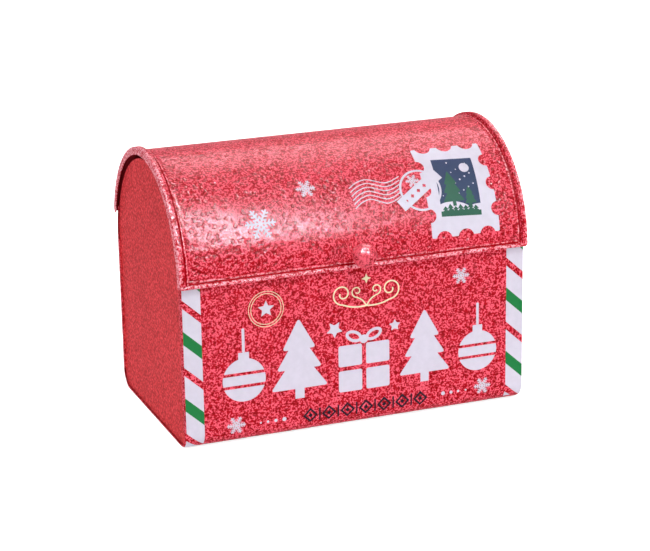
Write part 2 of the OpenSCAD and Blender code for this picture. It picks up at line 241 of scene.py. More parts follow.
def pick(test, kind="VERT"):
    """In edit mode, selects the vertices, edges or faces that pass a test."""
    mesh = bpy.context.object.data
    bm = bmesh.from_edit_mesh(mesh)
    for group in (bm.verts, bm.edges, bm.faces):
        for item in group:
            item.select = False
    bm.select_mode = {kind}
    bpy.context.tool_settings.mesh_select_mode = (kind == "VERT", kind == "EDGE", kind == "FACE")
    groups = {"VERT": bm.verts, "EDGE": bm.edges, "FACE": bm.faces}
    found = [item for item in groups[kind] if test(item)]
    if not found:
        raise RuntimeError(f"nothing to select on {mesh.name}")
    for item in found:
        item.select_set(True)
    bm.select_flush_mode()
    bmesh.update_edit_mesh(mesh)


def pick_all():
    """In edit mode, selects every vertex."""
    pick(lambda v: True)


def push(x=0.0, y=0.0, z=0.0):
    """Extrudes what is selected by a step."""
    bpy.ops.mesh.extrude_region_move(TRANSFORM_OT_translate={"value": (x, y, z)})


def spin_x(turn, y, z, steps):
    """Spins what is selected about a line along X, from the front up over the top where turn is above 0."""
    bpy.ops.mesh.spin(steps=steps, angle=turn, center=(0, y, z), axis=(1, 0, 0))


def cut_rows(test, cuts):
    """Divides the edges that pass a test, so that the strip between them gets rows."""
    pick(test, "EDGE")
    bpy.ops.mesh.subdivide(number_cuts=cuts)


def start_line(half_width, y, z, cell):
    """Starts a sheet as one level edge along X, divided into cells."""
    deselect_all()
    width = 2 * half_width
    bpy.ops.mesh.primitive_plane_add(size=width, location=(0, y + half_width, z))
    bpy.ops.object.transform_apply(location=True, rotation=False, scale=False)
    edit()
    pick(lambda v: v.co.y > y + half_width)
    bpy.ops.mesh.delete(type="VERT")
    pick_all()
    bpy.ops.mesh.subdivide(number_cuts=round(width / cell) - 1)


def apply_modifier(piece, kind, **values):
    """Adds a modifier with its settings and applies it."""
    bpy.context.view_layer.objects.active = piece
    modifier = piece.modifiers.new(kind.title(), kind)
    for key, value in values.items():
        setattr(modifier, key, value)
    bpy.ops.object.modifier_apply(modifier=modifier.name)


def recalculate_normals():
    """Turns the faces of the active piece, which is closed, outwards."""
    edit()
    bpy.ops.mesh.select_all(action="SELECT")
    bpy.ops.mesh.normals_make_consistent(inside=False)
    leave_edit()


def face_outwards(piece, middle):
    """Merges the doubles of an open sheet and turns its faces away from a point inside it."""
    edit()
    bpy.ops.mesh.select_all(action="SELECT")
    bpy.ops.mesh.remove_doubles(threshold=TINY)
    bpy.ops.mesh.normals_make_consistent(inside=False)
    leave_edit()
    outward = sum(f.normal.dot(f.center - middle) * f.area for f in piece.data.polygons)
    if outward < 0:
        edit()
        bpy.ops.mesh.select_all(action="SELECT")
        bpy.ops.mesh.flip_normals()
        leave_edit()


def thicken_inwards(piece, thickness):
    """Gives a sheet its wall on the inside, in the enamel for the inside and with few faces."""
    piece.vertex_groups.new(name="inside")
    apply_modifier(
        piece,
        "SOLIDIFY",
        thickness=thickness,
        offset=-1,
        shell_vertex_group="inside",
        material_offset=INSIDE,
    )
    edit()
    pick(lambda f: f.material_index == INSIDE, "FACE")
    bpy.ops.mesh.dissolve_limited(angle_limit=math.radians(0.2))
    leave_edit()


def join(pieces):
    """Joins objects into the first of them."""
    deselect_all()
    for piece in pieces:
        piece.select_set(True)
    bpy.context.view_layer.objects.active = pieces[0]
    if len(pieces) > 1:
        bpy.ops.object.join()
    return bpy.context.object


def smooth(piece, limit=35):
    """Shades a piece smooth, apart from its edges sharper than a limit in degrees."""
    select_only(piece)
    bpy.ops.object.shade_smooth_by_angle(angle=math.radians(limit))


def place(piece, x=0.0, y=0.0, z=0.0, turn_x=0.0):
    """Turns and moves a piece, and puts its place into its mesh."""
    select_only(piece)
    piece.rotation_euler = (turn_x, 0, 0)
    piece.location = (x, y, z)
    bpy.ops.object.transform_apply(location=True, rotation=True, scale=True)


# ---- Hammered relief, the same in the geometry and in the enamel ----


def math_node(tree, operation, first, second=None, clamp=False):
    """Arithmetic on one or two values, each a socket or a plain number."""
    node = tree.nodes.new("ShaderNodeMath")
    node.operation = operation
    node.use_clamp = clamp
    for socket, value in zip(node.inputs, (first, second)):
        if value is None:
            continue
        if isinstance(value, bpy.types.NodeSocket):
            tree.links.new(value, socket)
        else:
            socket.default_value = value
    return node.outputs[0]


def noise_node(tree, where, scale, detail=2.0, roughness=0.5, colour_out=False):
    """Noise with so many cells a metre, as a value or as a colour."""
    node = tree.nodes.new("ShaderNodeTexNoise")
    node.inputs["Scale"].default_value = scale
    node.inputs["Detail"].default_value = detail
    node.inputs["Roughness"].default_value = roughness
    tree.links.new(where, node.inputs["Vector"])
    return node.outputs["Color" if colour_out else 0]


def range_node(tree, value, low, high, to_low=0.0, to_high=1.0, kind="SMOOTHSTEP"):
    """Turns a range of a value into another range."""
    node = tree.nodes.new("ShaderNodeMapRange")
    node.interpolation_type = kind
    tree.links.new(value, node.inputs["Value"])
    node.inputs["From Min"].default_value = low
    node.inputs["From Max"].default_value = high
    node.inputs["To Min"].default_value = to_low
    node.inputs["To Max"].default_value = to_high
    return node.outputs["Result"]


def weighted_sum(tree, start, *terms):
    """Adds sockets, each times its weight, to a plain number."""
    total = start
    for socket, weight in terms:
        node = tree.nodes.new("ShaderNodeMath")
        node.operation = "MULTIPLY_ADD"
        tree.links.new(socket, node.inputs[0])
        node.inputs[1].default_value = weight
        if isinstance(total, bpy.types.NodeSocket):
            tree.links.new(total, node.inputs[2])
        else:
            node.inputs[2].default_value = total
        total = node.outputs[0]
    return total


def hammered_fields(tree, where, pitch):
    """Winding ridges and round dimples, each from 0 in its hollows to 1 on its crests."""
    winding = noise_node(tree, where, 1 / (0.34 * pitch), 2.0)
    ridges = range_node(tree, winding, 0.45, 0.57)
    warp = noise_node(tree, where, 0.8 / pitch, 1.0, colour_out=True)
    warped = tree.nodes.new("ShaderNodeVectorMath")
    warped.operation = "MULTIPLY_ADD"
    tree.links.new(warp, warped.inputs[0])
    warped.inputs[1].default_value = (0.8 * pitch,) * 3
    tree.links.new(where, warped.inputs[2])
    cells = tree.nodes.new("ShaderNodeTexVoronoi")
    cells.feature = "SMOOTH_F1"
    cells.inputs["Scale"].default_value = 1 / pitch
    cells.inputs["Smoothness"].default_value = 0.15
    tree.links.new(warped.outputs[0], cells.inputs["Vector"])
    dimples = range_node(tree, cells.outputs["Distance"], 0.26, 0.5)
    return ridges, dimples


def relief_group():
    """Geometry nodes that press the dimples into the outside of a sheet."""
    paint = settings("paint")
    tree = bpy.data.node_groups.new("Hammered Relief", "GeometryNodeTree")
    tree.interface.new_socket("Geometry", in_out="INPUT", socket_type="NodeSocketGeometry")
    tree.interface.new_socket("Geometry", in_out="OUTPUT", socket_type="NodeSocketGeometry")
    start = tree.nodes.new("NodeGroupInput")
    end = tree.nodes.new("NodeGroupOutput")
    move = tree.nodes.new("GeometryNodeSetPosition")
    where = tree.nodes.new("GeometryNodeInputPosition")
    normal = tree.nodes.new("GeometryNodeInputNormal")
    inside = tree.nodes.new("GeometryNodeInputNamedAttribute")
    inside.data_type = "FLOAT"
    inside.inputs["Name"].default_value = "inside"
    _, dimples = hammered_fields(tree, where.outputs[0], paint.pitch)
    depth = math_node(tree, "MULTIPLY", math_node(tree, "SUBTRACT", dimples, 1.0), paint.depth)
    outside = math_node(tree, "SUBTRACT", 1.0, inside.outputs["Attribute"], clamp=True)
    depth = math_node(tree, "MULTIPLY", depth, outside)
    scale = tree.nodes.new("ShaderNodeVectorMath")
    scale.operation = "SCALE"
    tree.links.new(normal.outputs[0], scale.inputs[0])
    tree.links.new(depth, scale.inputs["Scale"])
    tree.links.new(start.outputs[0], move.inputs["Geometry"])
    tree.links.new(scale.outputs[0], move.inputs["Offset"])
    tree.links.new(move.outputs[0], end.inputs[0])
    return tree


def hammer(piece):
    """Presses the dimples into a piece."""
    tree = bpy.data.node_groups.get("Hammered Relief") or relief_group()
    apply_modifier(piece, "NODES", node_group=tree)


# ---- Materials ----


# Strength of the sheen on the enamel itself and on the inks, and of the clear coat over the enamel
ENAMEL_SHEEN = 0.01
INK_SHEEN = 0.03
SHEET_COAT = 0.075
KNOB_COAT = 0.2

# How far the speckle of the plain enamel strays from its colour
PANEL_CONTRAST = 0.48
INSIDE_CONTRAST = 0.1

INKS = ("white", "green", "gold", "dark", "night", "fir")


def new_material(name):
    """A material with its shader, and the socket of the object's own coordinates."""
    material = bpy.data.materials.new(name)
    material.use_nodes = True
    tree = material.node_tree
    shader = tree.nodes["Principled BSDF"]
    where = tree.nodes.new("ShaderNodeTexCoord")
    return material, tree, shader, where.outputs["Object"]


def ramp_node(tree, value, stops):
    """Colour ramp with a stop for each place and colour."""
    node = tree.nodes.new("ShaderNodeValToRGB")
    tree.links.new(value, node.inputs["Fac"])
    elements = node.color_ramp.elements
    while len(elements) < len(stops):
        elements.new(0.5)
    for element, (at, shade) in zip(elements, stops):
        element.position = at
        element.color = (*shade, 1)
    return node.outputs["Color"]


def multiply_node(tree, first, second):
    """Multiplies two colours. A Mix node's colour sockets come after those for numbers and vectors."""
    node = tree.nodes.new("ShaderNodeMix")
    node.data_type = "RGBA"
    node.blend_type = "MULTIPLY"
    node.inputs["Factor"].default_value = 1.0
    tree.links.new(first, node.inputs[6])
    tree.links.new(second, node.inputs[7])
    return node.outputs[2]


def bump(tree, shader, height, distance, strength):
    """Fine relief of the paint, in its body and in its clear coat."""
    node = tree.nodes.new("ShaderNodeBump")
    node.inputs["Distance"].default_value = distance
    node.inputs["Strength"].default_value = strength
    tree.links.new(height, node.inputs["Height"])
    tree.links.new(node.outputs["Normal"], shader.inputs["Normal"])
    tree.links.new(node.outputs["Normal"], shader.inputs["Coat Normal"])


def hammered_enamel(name, pit, field, ridge, coat=SHEET_COAT):
    """Glossy hammered enamel: dark in the hollows and light on the crests between them, partly as painted
    shade and painted highlight.
    """
    look = settings("paint")
    material, tree, shader, where = new_material(name)
    ridges, dimples = hammered_fields(tree, where, look.pitch)
    grain = noise_node(tree, where, 1500, 3.0, 0.6)
    drift = noise_node(tree, where, 90, 2.0)
    # The tone follows the dimples and ridges: painted shade in the hollows and painted highlight on the
    # crests, over the enamel's own mottle
    tone = weighted_sum(tree, -0.42, (dimples, 0.42), (ridges, 0.74), (grain, 0.35), (drift, 0.3))
    shade = ramp_node(tree, tone, [(0.05, pit), (0.45, field), (0.95, ridge)])
    tree.links.new(shade, shader.inputs["Base Color"])
    tree.links.new(range_node(tree, grain, 0.2, 0.8, 0.3, 0.45, "LINEAR"), shader.inputs["Roughness"])
    shader.inputs["Specular IOR Level"].default_value = ENAMEL_SHEEN
    shader.inputs["Coat Weight"].default_value = coat
    shader.inputs["Coat Roughness"].default_value = 0.14
    relief = weighted_sum(tree, 0.0, (dimples, 0.95), (ridges, 0.1), (grain, 0.03))
    bump(tree, shader, relief, 0.22 * MM, 1.0)
    return material


def pooled_shade_enamel(name, thick, lighter):
    """Smooth enamel pooled in the grooves beside the beads, darkened as painted shade of the grooves."""
    material, tree, shader, where = new_material(name)
    drift = noise_node(tree, where, 420, 2.0)
    shade = ramp_node(tree, drift, [(0.4, thick), (0.75, lighter)])
    tree.links.new(shade, shader.inputs["Base Color"])
    shader.inputs["Roughness"].default_value = 0.35
    shader.inputs["Specular IOR Level"].default_value = ENAMEL_SHEEN
    return material


def plain_enamel(name, shade, contrast):
    """Satin enamel with a fine speckle."""
    material, tree, shader, where = new_material(name)
    fine = noise_node(tree, where, 800, 3.0, 0.65)
    broad = noise_node(tree, where, 35, 2.0)
    red, green, blue = shade
    paler = 1 + 3 * contrast
    light = (min(1.0, red * (1 + 0.6 * contrast)), green * paler, blue * paler)
    dark = tuple(c * (1 - contrast) for c in shade)
    speckle = ramp_node(tree, fine, [(0.38, dark), (0.5, shade), (0.62, light)])
    clouds = ramp_node(tree, broad, [(0.3, (0.9, 0.9, 0.9)), (0.7, (1.0, 1.0, 1.0))])
    tree.links.new(multiply_node(tree, speckle, clouds), shader.inputs["Base Color"])
    tree.links.new(range_node(tree, fine, 0.2, 0.8, 0.42, 0.6, "LINEAR"), shader.inputs["Roughness"])
    shader.inputs["Specular IOR Level"].default_value = ENAMEL_SHEEN
    bump(tree, shader, fine, 0.08 * MM, 0.5)
    return material


def ink(name, shade):
    """Screen-print ink: smooth and satin, with a faint mottle."""
    material, tree, shader, where = new_material(name)
    mottle = noise_node(tree, where, 260, 3.0, 0.6)
    darker = tuple(c * 0.93 for c in shade)
    tree.links.new(ramp_node(tree, mottle, [(0.3, darker), (0.65, shade)]), shader.inputs["Base Color"])
    tree.links.new(range_node(tree, mottle, 0.2, 0.8, 0.42, 0.55, "LINEAR"), shader.inputs["Roughness"])
    shader.inputs["Specular IOR Level"].default_value = INK_SHEEN
    bump(tree, shader, mottle, 0.05 * MM, 0.35)
    return material


def plated_steel(name):
    """Bright zinc plate, brushed along the box, with faint stains."""
    material, tree, shader, where = new_material(name)
    stretch = tree.nodes.new("ShaderNodeMapping")
    stretch.inputs["Scale"].default_value = (0.12, 1, 1)
    tree.links.new(where, stretch.inputs["Vector"])
    brush = noise_node(tree, stretch.outputs["Vector"], 3800, 2.0, 0.6)
    stain = noise_node(tree, where, 240, 3.0, 0.6)
    shade = ramp_node(tree, stain, [(0.3, (0.5, 0.5, 0.49)), (0.7, (0.66, 0.66, 0.64))])
    tree.links.new(shade, shader.inputs["Base Color"])
    shader.inputs["Metallic"].default_value = 1.0
    tree.links.new(range_node(tree, brush, 0.2, 0.8, 0.22, 0.42, "LINEAR"), shader.inputs["Roughness"])
    bump(tree, shader, brush, 0.03 * MM, 0.3)
    return material


def material(kind):
    """The material of a kind, made when it is first asked for."""
    paint, prints = settings("paint"), settings("print")
    makers = {
        "hammered": (hammered_enamel, "Hammered Enamel", paint.pit, paint.field, paint.ridge),
        # The knob's enamel has a lighter field than the sheet's, as painted highlight
        "knob": (hammered_enamel, "Knob Enamel", paint.pit, paint.lighter, paint.ridge, KNOB_COAT),
        # Edge enamel: thinner enamel with painted highlight on the crests, the roll and the hem
        "edge": (hammered_enamel, "Edge Enamel", paint.field, paint.lighter, paint.edge),
        "plain": (plain_enamel, "Plain Enamel", paint.plain, PANEL_CONTRAST),
        "inside": (plain_enamel, "Inside Enamel", paint.inside, INSIDE_CONTRAST),
        # Painted shade in the grooves
        "pooled_shade": (pooled_shade_enamel, "Pooled Enamel", paint.pooled_shade, paint.field),
        "steel": (plated_steel, "Plated Steel"),
    }
    for shade in INKS:
        makers[shade] = (ink, f"{shade.title()} Ink", getattr(prints, shade))
    make, name, *looks = makers[kind]
    return bpy.data.materials.get(name) or make(name, *looks)


def dress(piece, *kinds):
    """Gives a piece its materials in the order of its slots."""
    piece.data.materials.clear()
    for kind in kinds:
        piece.data.materials.append(material(kind))


# ---- Sheets ----


def turn_seams(sheet, wall_y):
    """Turns the two ends of a level line inwards, as the sheet is folded round the ends of the box."""
    flat = HALF_W - sheet.seam_r
    for side in (-1, 1):
        pick(lambda v, side=side: side * v.co.x > flat - TINY)
        centre = (side * flat, wall_y + sheet.seam_r, 0)
        bpy.ops.mesh.spin(steps=3, angle=-side * QUARTER, center=centre, axis=(0, 0, 1))
        push(y=sheet.seam_w - sheet.seam_r)


def sweep_body(sheet, top, rows):
    """Sweeps the line down the front, under the base, up the back and along its arch."""
    base_flat = HALF_D - sheet.base_r
    pick_all()
    push(z=sheet.base_r - top)
    spin_x(-QUARTER, -base_flat, sheet.base_r, 8)
    push(y=2 * base_flat)
    spin_x(-QUARTER, base_flat, sheet.base_r, 8)
    push(z=SHOULDER_H - sheet.base_r)
    spin_x(-BACK_ARCH, 0, SHOULDER_H, rows(BACK_ARCH * HALF_D))


def long_edge(e, axis, at_least):
    """Whether an edge reaches further along an axis than a length."""
    step = e.verts[1].co - e.verts[0].co
    return abs(step[axis]) > at_least


def build_body_sheet():
    """Front wall, base and back wall, bent from one sheet."""
    sheet = settings("sheet")
    fold_r = sheet.thickness * 1.05
    top = LID_H + sheet.front_lap - fold_r
    hem_half = HALF_W - sheet.seam_w

    def rows(run):
        return max(1, round(run / sheet.grid))

    start_line(HALF_W - sheet.seam_r, -HALF_D, top, sheet.grid)
    piece = name_active("body_sheet")
    turn_seams(sheet, -HALF_D)
    sweep_body(sheet, top, rows)
    tall = 4 * sheet.base_r
    cut_rows(lambda e: long_edge(e, 2, tall) and e.verts[0].co.y < 0, rows(top - sheet.base_r) - 1)
    cut_rows(lambda e: long_edge(e, 2, tall) and e.verts[0].co.y > 0, rows(SHOULDER_H - sheet.base_r) - 1)
    cut_rows(lambda e: long_edge(e, 1, tall), rows(2 * (HALF_D - sheet.base_r)) // 4)

    # The seams are folded over the ends only beside the straight walls
    def spare_flange(f):
        at = f.calc_center_median()
        return abs(at.x) > HALF_W - TINY and not sheet.base_r < at.z < SHOULDER_H

    pick(spare_flange, "FACE")
    bpy.ops.mesh.delete(type="FACE")

    # Safe edges, folded in along the top of the front wall and of the back wall
    pick(lambda v: v.co.y < 0 and v.co.z > top - TINY and abs(v.co.x) < hem_half)
    spin_x(HALF_TURN, -HALF_D + fold_r, top, 6)
    push(z=fold_r - sheet.hem_w)
    pick(lambda v: v.co.y > 0 and v.co.z > BACK_H - TINY and abs(v.co.x) < hem_half)
    fold_out = HALF_D - fold_r
    fold_z = SHOULDER_H + fold_out * math.sin(BACK_ARCH)
    spin_x(-HALF_TURN, fold_out * math.cos(BACK_ARCH), fold_z, 6)
    spin_x(sheet.hem_w / HALF_D, 0, SHOULDER_H, 4)
    leave_edit()

    face_outwards(piece, Vector((0, 0, SHOULDER_H / 2)))
    dress(piece, "hammered", "inside")
    thicken_inwards(piece, sheet.thickness)
    hammer(piece)
    smooth(piece)
    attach(piece, "tin")
    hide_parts("body_wrap")


def run_on(side, along, out=0.0, times=1):
    """Runs one end of the line on by steps along the width and out from the vault."""
    for _ in range(times):
        push(x=side * along, y=-out)


def line_end(side):
    """Selects the outermost vertex of the line at one end."""
    mesh = bmesh.from_edit_mesh(bpy.context.object.data)
    reach = max(side * v.co.x for v in mesh.verts)
    pick(lambda v: side * v.co.x > reach - TINY)


def turn_of(at):
    """Angle of a point round the lid's vault, from the front edge up over the top."""
    return math.atan2(at.z - LID_H, -at.y)


def scale_row(test, turn, share, pivot_r=0.0):
    """Scales the vertices of one row of the vault towards a point at a radius on that row."""
    near = 0.05 * MM / RIM_R
    pivot = (0, -pivot_r * math.cos(turn), LID_H + pivot_r * math.sin(turn))
    pick(lambda v: test(v) and abs((turn_of(v.co) - turn + math.pi) % math.tau - math.pi) < near)
    bpy.ops.transform.resize(value=(1, share, share), center_override=pivot)


def round_rim_ends(sheet, turns, edge_turn):
    """Rounds the corners of the rims at one edge of the lid."""
    lip_r = RIM_R - sheet.lip_d
    field = between_rims(sheet)
    for turn in turns:
        height = abs(turn - edge_turn) * RIM_R
        if height < sheet.corner_r:
            drop = sheet.corner_r - math.sqrt(sheet.corner_r**2 - (sheet.corner_r - height) ** 2)
            share = 1 - drop / sheet.lip_d
            scale_row(lambda v: abs(v.co.x) > field + TINY, turn, share, lip_r)


def bead_run(sheet):
    """Width of a bead with the grooves beside it."""
    return len(BEAD_PROFILE) * sheet.bead_w / 4


def between_rims(sheet):
    """Half the width of the vault between its rims."""
    return LID_HALF_W - sheet.rim_w - sheet.thickness


def between_beads(sheet):
    """Half the width of the vault between its side beads."""
    return between_rims(sheet) - sheet.bead_step - bead_run(sheet) / 2


def front_bead_turn(sheet):
    """Turn round the vault at which the front bead starts."""
    return (2 * sheet.roll_r + sheet.bead_step - bead_run(sheet) / 2) / sheet.vault_r


def shape_lid_end(sheet, side):
    """Runs the line on at one end over the bead and the rim, and in along the lip."""
    edge_r = sheet.rim_edge_r
    line_end(side)
    for before, now in zip((0.0, *BEAD_PROFILE), BEAD_PROFILE):
        run_on(side, sheet.bead_w / 4, (now - before) * sheet.bead_rise)
    run_on(side, sheet.bead_step - bead_run(sheet) / 2)
    run_on(side, sheet.thickness, RIM_R - sheet.vault_r)
    run_on(side, (sheet.rim_w - edge_r) / 3, times=3)
    centre = (side * (LID_HALF_W - edge_r), -RIM_R + edge_r, 0)
    bpy.ops.mesh.spin(steps=4, angle=-side * QUARTER, center=centre, axis=(0, 0, 1))
    run_on(side, 0.0, -(sheet.lip_d - edge_r) / 3, times=3)


def sweep_lid(sheet, sweep):
    """Sweeps the line over the vault, presses the front bead and rounds the rims' corners."""
    bead_start = front_bead_turn(sheet)
    bead_turn = bead_run(sheet) / sheet.vault_r
    rest = sweep - bead_start - bead_turn
    inner = between_beads(sheet)

    # Three runs, with finer rows for the bead along the front edge
    rest_steps = round(rest * sheet.vault_r / sheet.grid)
    turns = [0.0]
    pick_all()
    for turn, steps in ((bead_start, 4), (bead_turn, len(BEAD_PROFILE)), (rest, rest_steps)):
        spin_x(turn, 0, LID_H, steps)
        start = turns[-1]
        turns += [start + turn * (k + 1) / steps for k in range(steps)]
    for height, turn in zip(BEAD_PROFILE, turns[5:]):
        if height:
            share = 1 + height * sheet.bead_rise / sheet.vault_r
            scale_row(lambda v: abs(v.co.x) < inner + TINY, turn, share)
    round_rim_ends(sheet, turns[:6], 0.0)
    round_rim_ends(sheet, turns[-6:], sweep)


def paint_beads(piece, sheet):
    """Gives the grooves their darker enamel as painted shade, and the crests of the beads and rims their
    lighter, thinner enamel with painted highlight.
    """
    cell = sheet.bead_w / 4
    inner = between_beads(sheet)
    rim_gap = between_rims(sheet) - inner
    bead_start = front_bead_turn(sheet)

    def place_of(f):
        at = f.calc_center_median()
        return abs(at.x), abs(at.x) - inner, (turn_of(at) - bead_start) * sheet.vault_r

    def in_groove(f):
        _, across, along = place_of(f)
        beside_rim = 5 * cell < across < rim_gap
        below_bead = across < 0 and -0.3 * MM < along < cell
        above_bead = across < 0 and 6 * cell < along < 7 * cell
        return f.material_index == OUTSIDE and (beside_rim or below_bead or above_bead)

    def on_crest(f):
        out, across, along = place_of(f)
        on_rim = out > LID_HALF_W - 1.8 * sheet.rim_edge_r
        side_crest = 2 * cell < across < 4 * cell
        front_crest = across < 0 and 2 * cell < along < 4 * cell
        return f.material_index == OUTSIDE and (on_rim or side_crest or front_crest)

    edit()
    # Painted shade goes into the grooves and painted highlight onto the crests
    for test, slot in ((in_groove, GROOVES), (on_crest, CRESTS)):
        pick(test, "FACE")
        piece.active_material_index = slot
        bpy.ops.object.material_slot_assign()
    leave_edit()


def build_lid_sheet():
    """Vault, beads, end rims and lips, pressed from one sheet, with its roll and hem."""
    sheet = settings("sheet")
    inner = between_beads(sheet)
    back = math.asin((LID_BACK_H - LID_H) / sheet.vault_r)
    start_line(inner, -sheet.vault_r, LID_H, sheet.grid)
    piece = name_active("lid_sheet")
    for side in (-1, 1):
        shape_lid_end(sheet, side)
    sweep_lid(sheet, HALF_TURN - back)
    leave_edit()
    face_outwards(piece, Vector((0, 0, LID_H)))
    dress(piece, "hammered", "inside", "pooled_shade", "edge")
    thicken_inwards(piece, sheet.thickness)
    paint_beads(piece, sheet)
    trims = [lid_roll(sheet), lid_back_hem(sheet, back, inner)]
    # The roll and the back hem take the edge enamel's painted highlight
    for trim in trims:
        dress(trim, "edge")
    piece = join([piece, *trims])
    hammer(piece)
    smooth(piece)
    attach(piece, "lid")
    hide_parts("lid_shell")


def lid_roll(sheet):
    """Rolled front edge, as one rounded bar from rim to rim."""
    half = LID_HALF_W - sheet.rim_edge_r
    deselect_all()
    bpy.ops.mesh.primitive_cylinder_add(
        vertices=16,
        radius=sheet.roll_r,
        depth=2 * half,
        location=(0, -RIM_R + sheet.roll_r, LID_H + sheet.roll_r),
        rotation=(0, QUARTER, 0),
    )
    bpy.ops.object.transform_apply(location=True, rotation=True, scale=True)
    roll = name_active("front_roll")
    edit()
    pick(lambda e: long_edge(e, 0, half), "EDGE")
    bpy.ops.mesh.subdivide(number_cuts=round(2 * half / sheet.grid))
    leave_edit()
    return roll


def lid_back_hem(sheet, back, half):
    """Safe edge along the back of the lid, on its outside."""
    turn = back + math.asin(sheet.hem_w / 2 / sheet.vault_r)
    deselect_all()
    bpy.ops.mesh.primitive_cube_add(size=1)
    hem = name_active("back_hem")
    hem.scale = (2 * half, sheet.thickness, sheet.hem_w)
    bpy.ops.object.transform_apply(location=False, rotation=False, scale=True)
    edit()
    pick(lambda e: long_edge(e, 0, half), "EDGE")
    bpy.ops.mesh.bevel(offset=sheet.thickness * 0.4, segments=2, affect="EDGES")
    pick(lambda e: long_edge(e, 0, half), "EDGE")
    bpy.ops.mesh.subdivide(number_cuts=round(2 * half / sheet.grid))
    pick(lambda e: long_edge(e, 2, sheet.hem_w / 2), "EDGE")
    bpy.ops.mesh.subdivide(number_cuts=3)
    leave_edit()
    reach = sheet.vault_r + sheet.thickness / 2
    place(hem, y=reach * math.cos(turn), z=LID_H + reach * math.sin(turn), turn_x=turn)
    return hem


def build_knob():
    """Ball knob with its neck and foot, turned in one piece."""
    knob = settings("knob")
    deselect_all()
    bpy.ops.mesh.primitive_uv_sphere_add(
        segments=72, ring_count=44, radius=knob.ball_r, location=(0, 0, knob.reach)
    )
    bpy.ops.object.transform_apply(location=True, rotation=False, scale=False)
    piece = name_active("ball_knob")
    edit()
    neck_top = knob.reach - math.sqrt(knob.ball_r**2 - knob.neck_r**2)
    pick(lambda v: v.co.z < neck_top)
    bpy.ops.mesh.delete(type="VERT")
    low = min(v.co.z for v in bmesh.from_edit_mesh(piece.data).verts)
    ring_r = math.sqrt(knob.ball_r**2 - (knob.reach - low) ** 2)
    pick(lambda v: v.co.z < low + TINY)
    fillet = 0.6 * MM
    high = 0.7 * fillet

    def ring(radius_now, radius_next, down):
        push(z=-down)
        share = radius_next / radius_now
        bpy.ops.transform.resize(value=(share, share, 1))
        return radius_next

    now = ring(ring_r, knob.neck_r, low - neck_top)
    now = ring(now, knob.neck_r, neck_top - knob.foot_t - fillet)
    now = ring(now, knob.neck_r + 0.3 * fillet, high)
    now = ring(now, knob.foot_r, fillet - high)
    now = ring(now, knob.foot_r, 0.5 * knob.foot_t)
    ring(now, knob.foot_r * 0.96, 0.5 * knob.foot_t)
    bpy.ops.mesh.edge_face_add()
    leave_edit()
    out = settings("sheet").vault_r
    foot_y = -out * math.cos(knob.tilt)
    foot_z = LID_H + out * math.sin(knob.tilt)
    place(piece, y=foot_y, z=foot_z, turn_x=QUARTER - knob.tilt)
    recalculate_normals()
    hammer(piece)
    # Lighter knob enamel, as painted highlight
    dress(piece, "knob")
    smooth(piece, 50)
    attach(piece, "lid")
    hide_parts("knob")


def dress_frame_nodes():
    """Gives the frame's own end panels, hinges, rivets, screw and washer their finish."""
    for name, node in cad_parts.items():
        if node.hide_render:
            continue
        dress(node, "plain" if name.endswith("end_panel") else "steel")
        smooth(node, 30)


# ---- Prints: drawn flat with Z up and X along, then laid on the sheet ----


def flat(x, z, turn=0.0):
    """Where and how a flat shape is added, so that it faces the front."""
    return {"location": (x * MM, 0, z * MM), "rotation": (QUARTER, turn, 0)}


def bake():
    """Puts the active object's place, turn and size into its mesh."""
    bpy.ops.object.transform_apply(location=True, rotation=True, scale=True)
    return bpy.context.object


def bar(x, z, wide, tall, turn=0.0):
    """Flat bar about its middle, in millimetres."""
    bpy.ops.mesh.primitive_plane_add(size=MM, **flat(x, z, turn))
    bpy.context.object.scale = (wide, tall, 1)
    return bake()


def disc(x, z, radius, sides=40, turn=0.0):
    """Flat disc or polygon about its middle, in millimetres."""
    bpy.ops.mesh.primitive_circle_add(
        vertices=sides, radius=radius * MM, fill_type="NGON", **flat(x, z, turn)
    )
    return bake()


def hollow(piece, rim):
    """Cuts the middle out of a flat shape and leaves a rim, in millimetres."""
    edit()
    pick(lambda f: True, "FACE")
    bpy.ops.mesh.inset(thickness=rim * MM)
    bpy.ops.mesh.delete(type="FACE")
    leave_edit()
    return piece


def thread(x, low, high, width):
    """Upright bar with round ends, as parts that overlap."""
    ends = [disc(x, z, width / 2, 20) for z in (low, high)]
    return [bar(x, (low + high) / 2, width, high - low), *ends]


# Twigs of a snowflake's arm: place along the arm and length, as shares of the flake's radius
TWIGS = ((0.25, 0.31), (0.5, 0.28), (0.74, 0.25))


def snowflake(x, z, radius):
    """Six arms, each with three pairs of twigs. The inner twigs cross and leave holes round the hub."""
    weight = 0.05 + 0.115 * radius
    parts = []
    for k in range(6):
        arm = math.radians(60 * k + 30)
        arm_x = x + math.sin(arm) * radius / 2
        arm_z = z + math.cos(arm) * radius / 2
        parts.append(bar(arm_x, arm_z, weight, radius, arm))
        for at, reach in TWIGS:
            for side in (-1, 1):
                twig = arm + side * math.radians(60)
                mid_x = x + radius * (math.sin(arm) * at + math.sin(twig) * reach / 2)
                mid_z = z + radius * (math.cos(arm) * at + math.cos(twig) * reach / 2)
                parts.append(bar(mid_x, mid_z, weight * 0.85, radius * reach, twig))
    return parts


def rounded(piece, radius):
    """Rounds the corners of a flat shape, in millimetres."""
    edit()
    pick_all()
    bpy.ops.mesh.bevel(offset=radius * MM, segments=4, affect="VERTICES")
    leave_edit()
    return piece


def cut_away(piece, cuts):
    """Cuts level gaps out of a flat shape, each from one height to another in millimetres."""
    edit()
    for low, high in cuts:
        for at in (low, high):
            pick_all()
            bpy.ops.mesh.bisect(plane_co=(0, 0, at * MM), plane_no=(0, 0, 1))
    for low, high in cuts:
        pick(lambda f, a=low * MM, b=high * MM: a < f.calc_center_median().z < b, "FACE")
        bpy.ops.mesh.delete(type="FACE")
    leave_edit()
    return piece


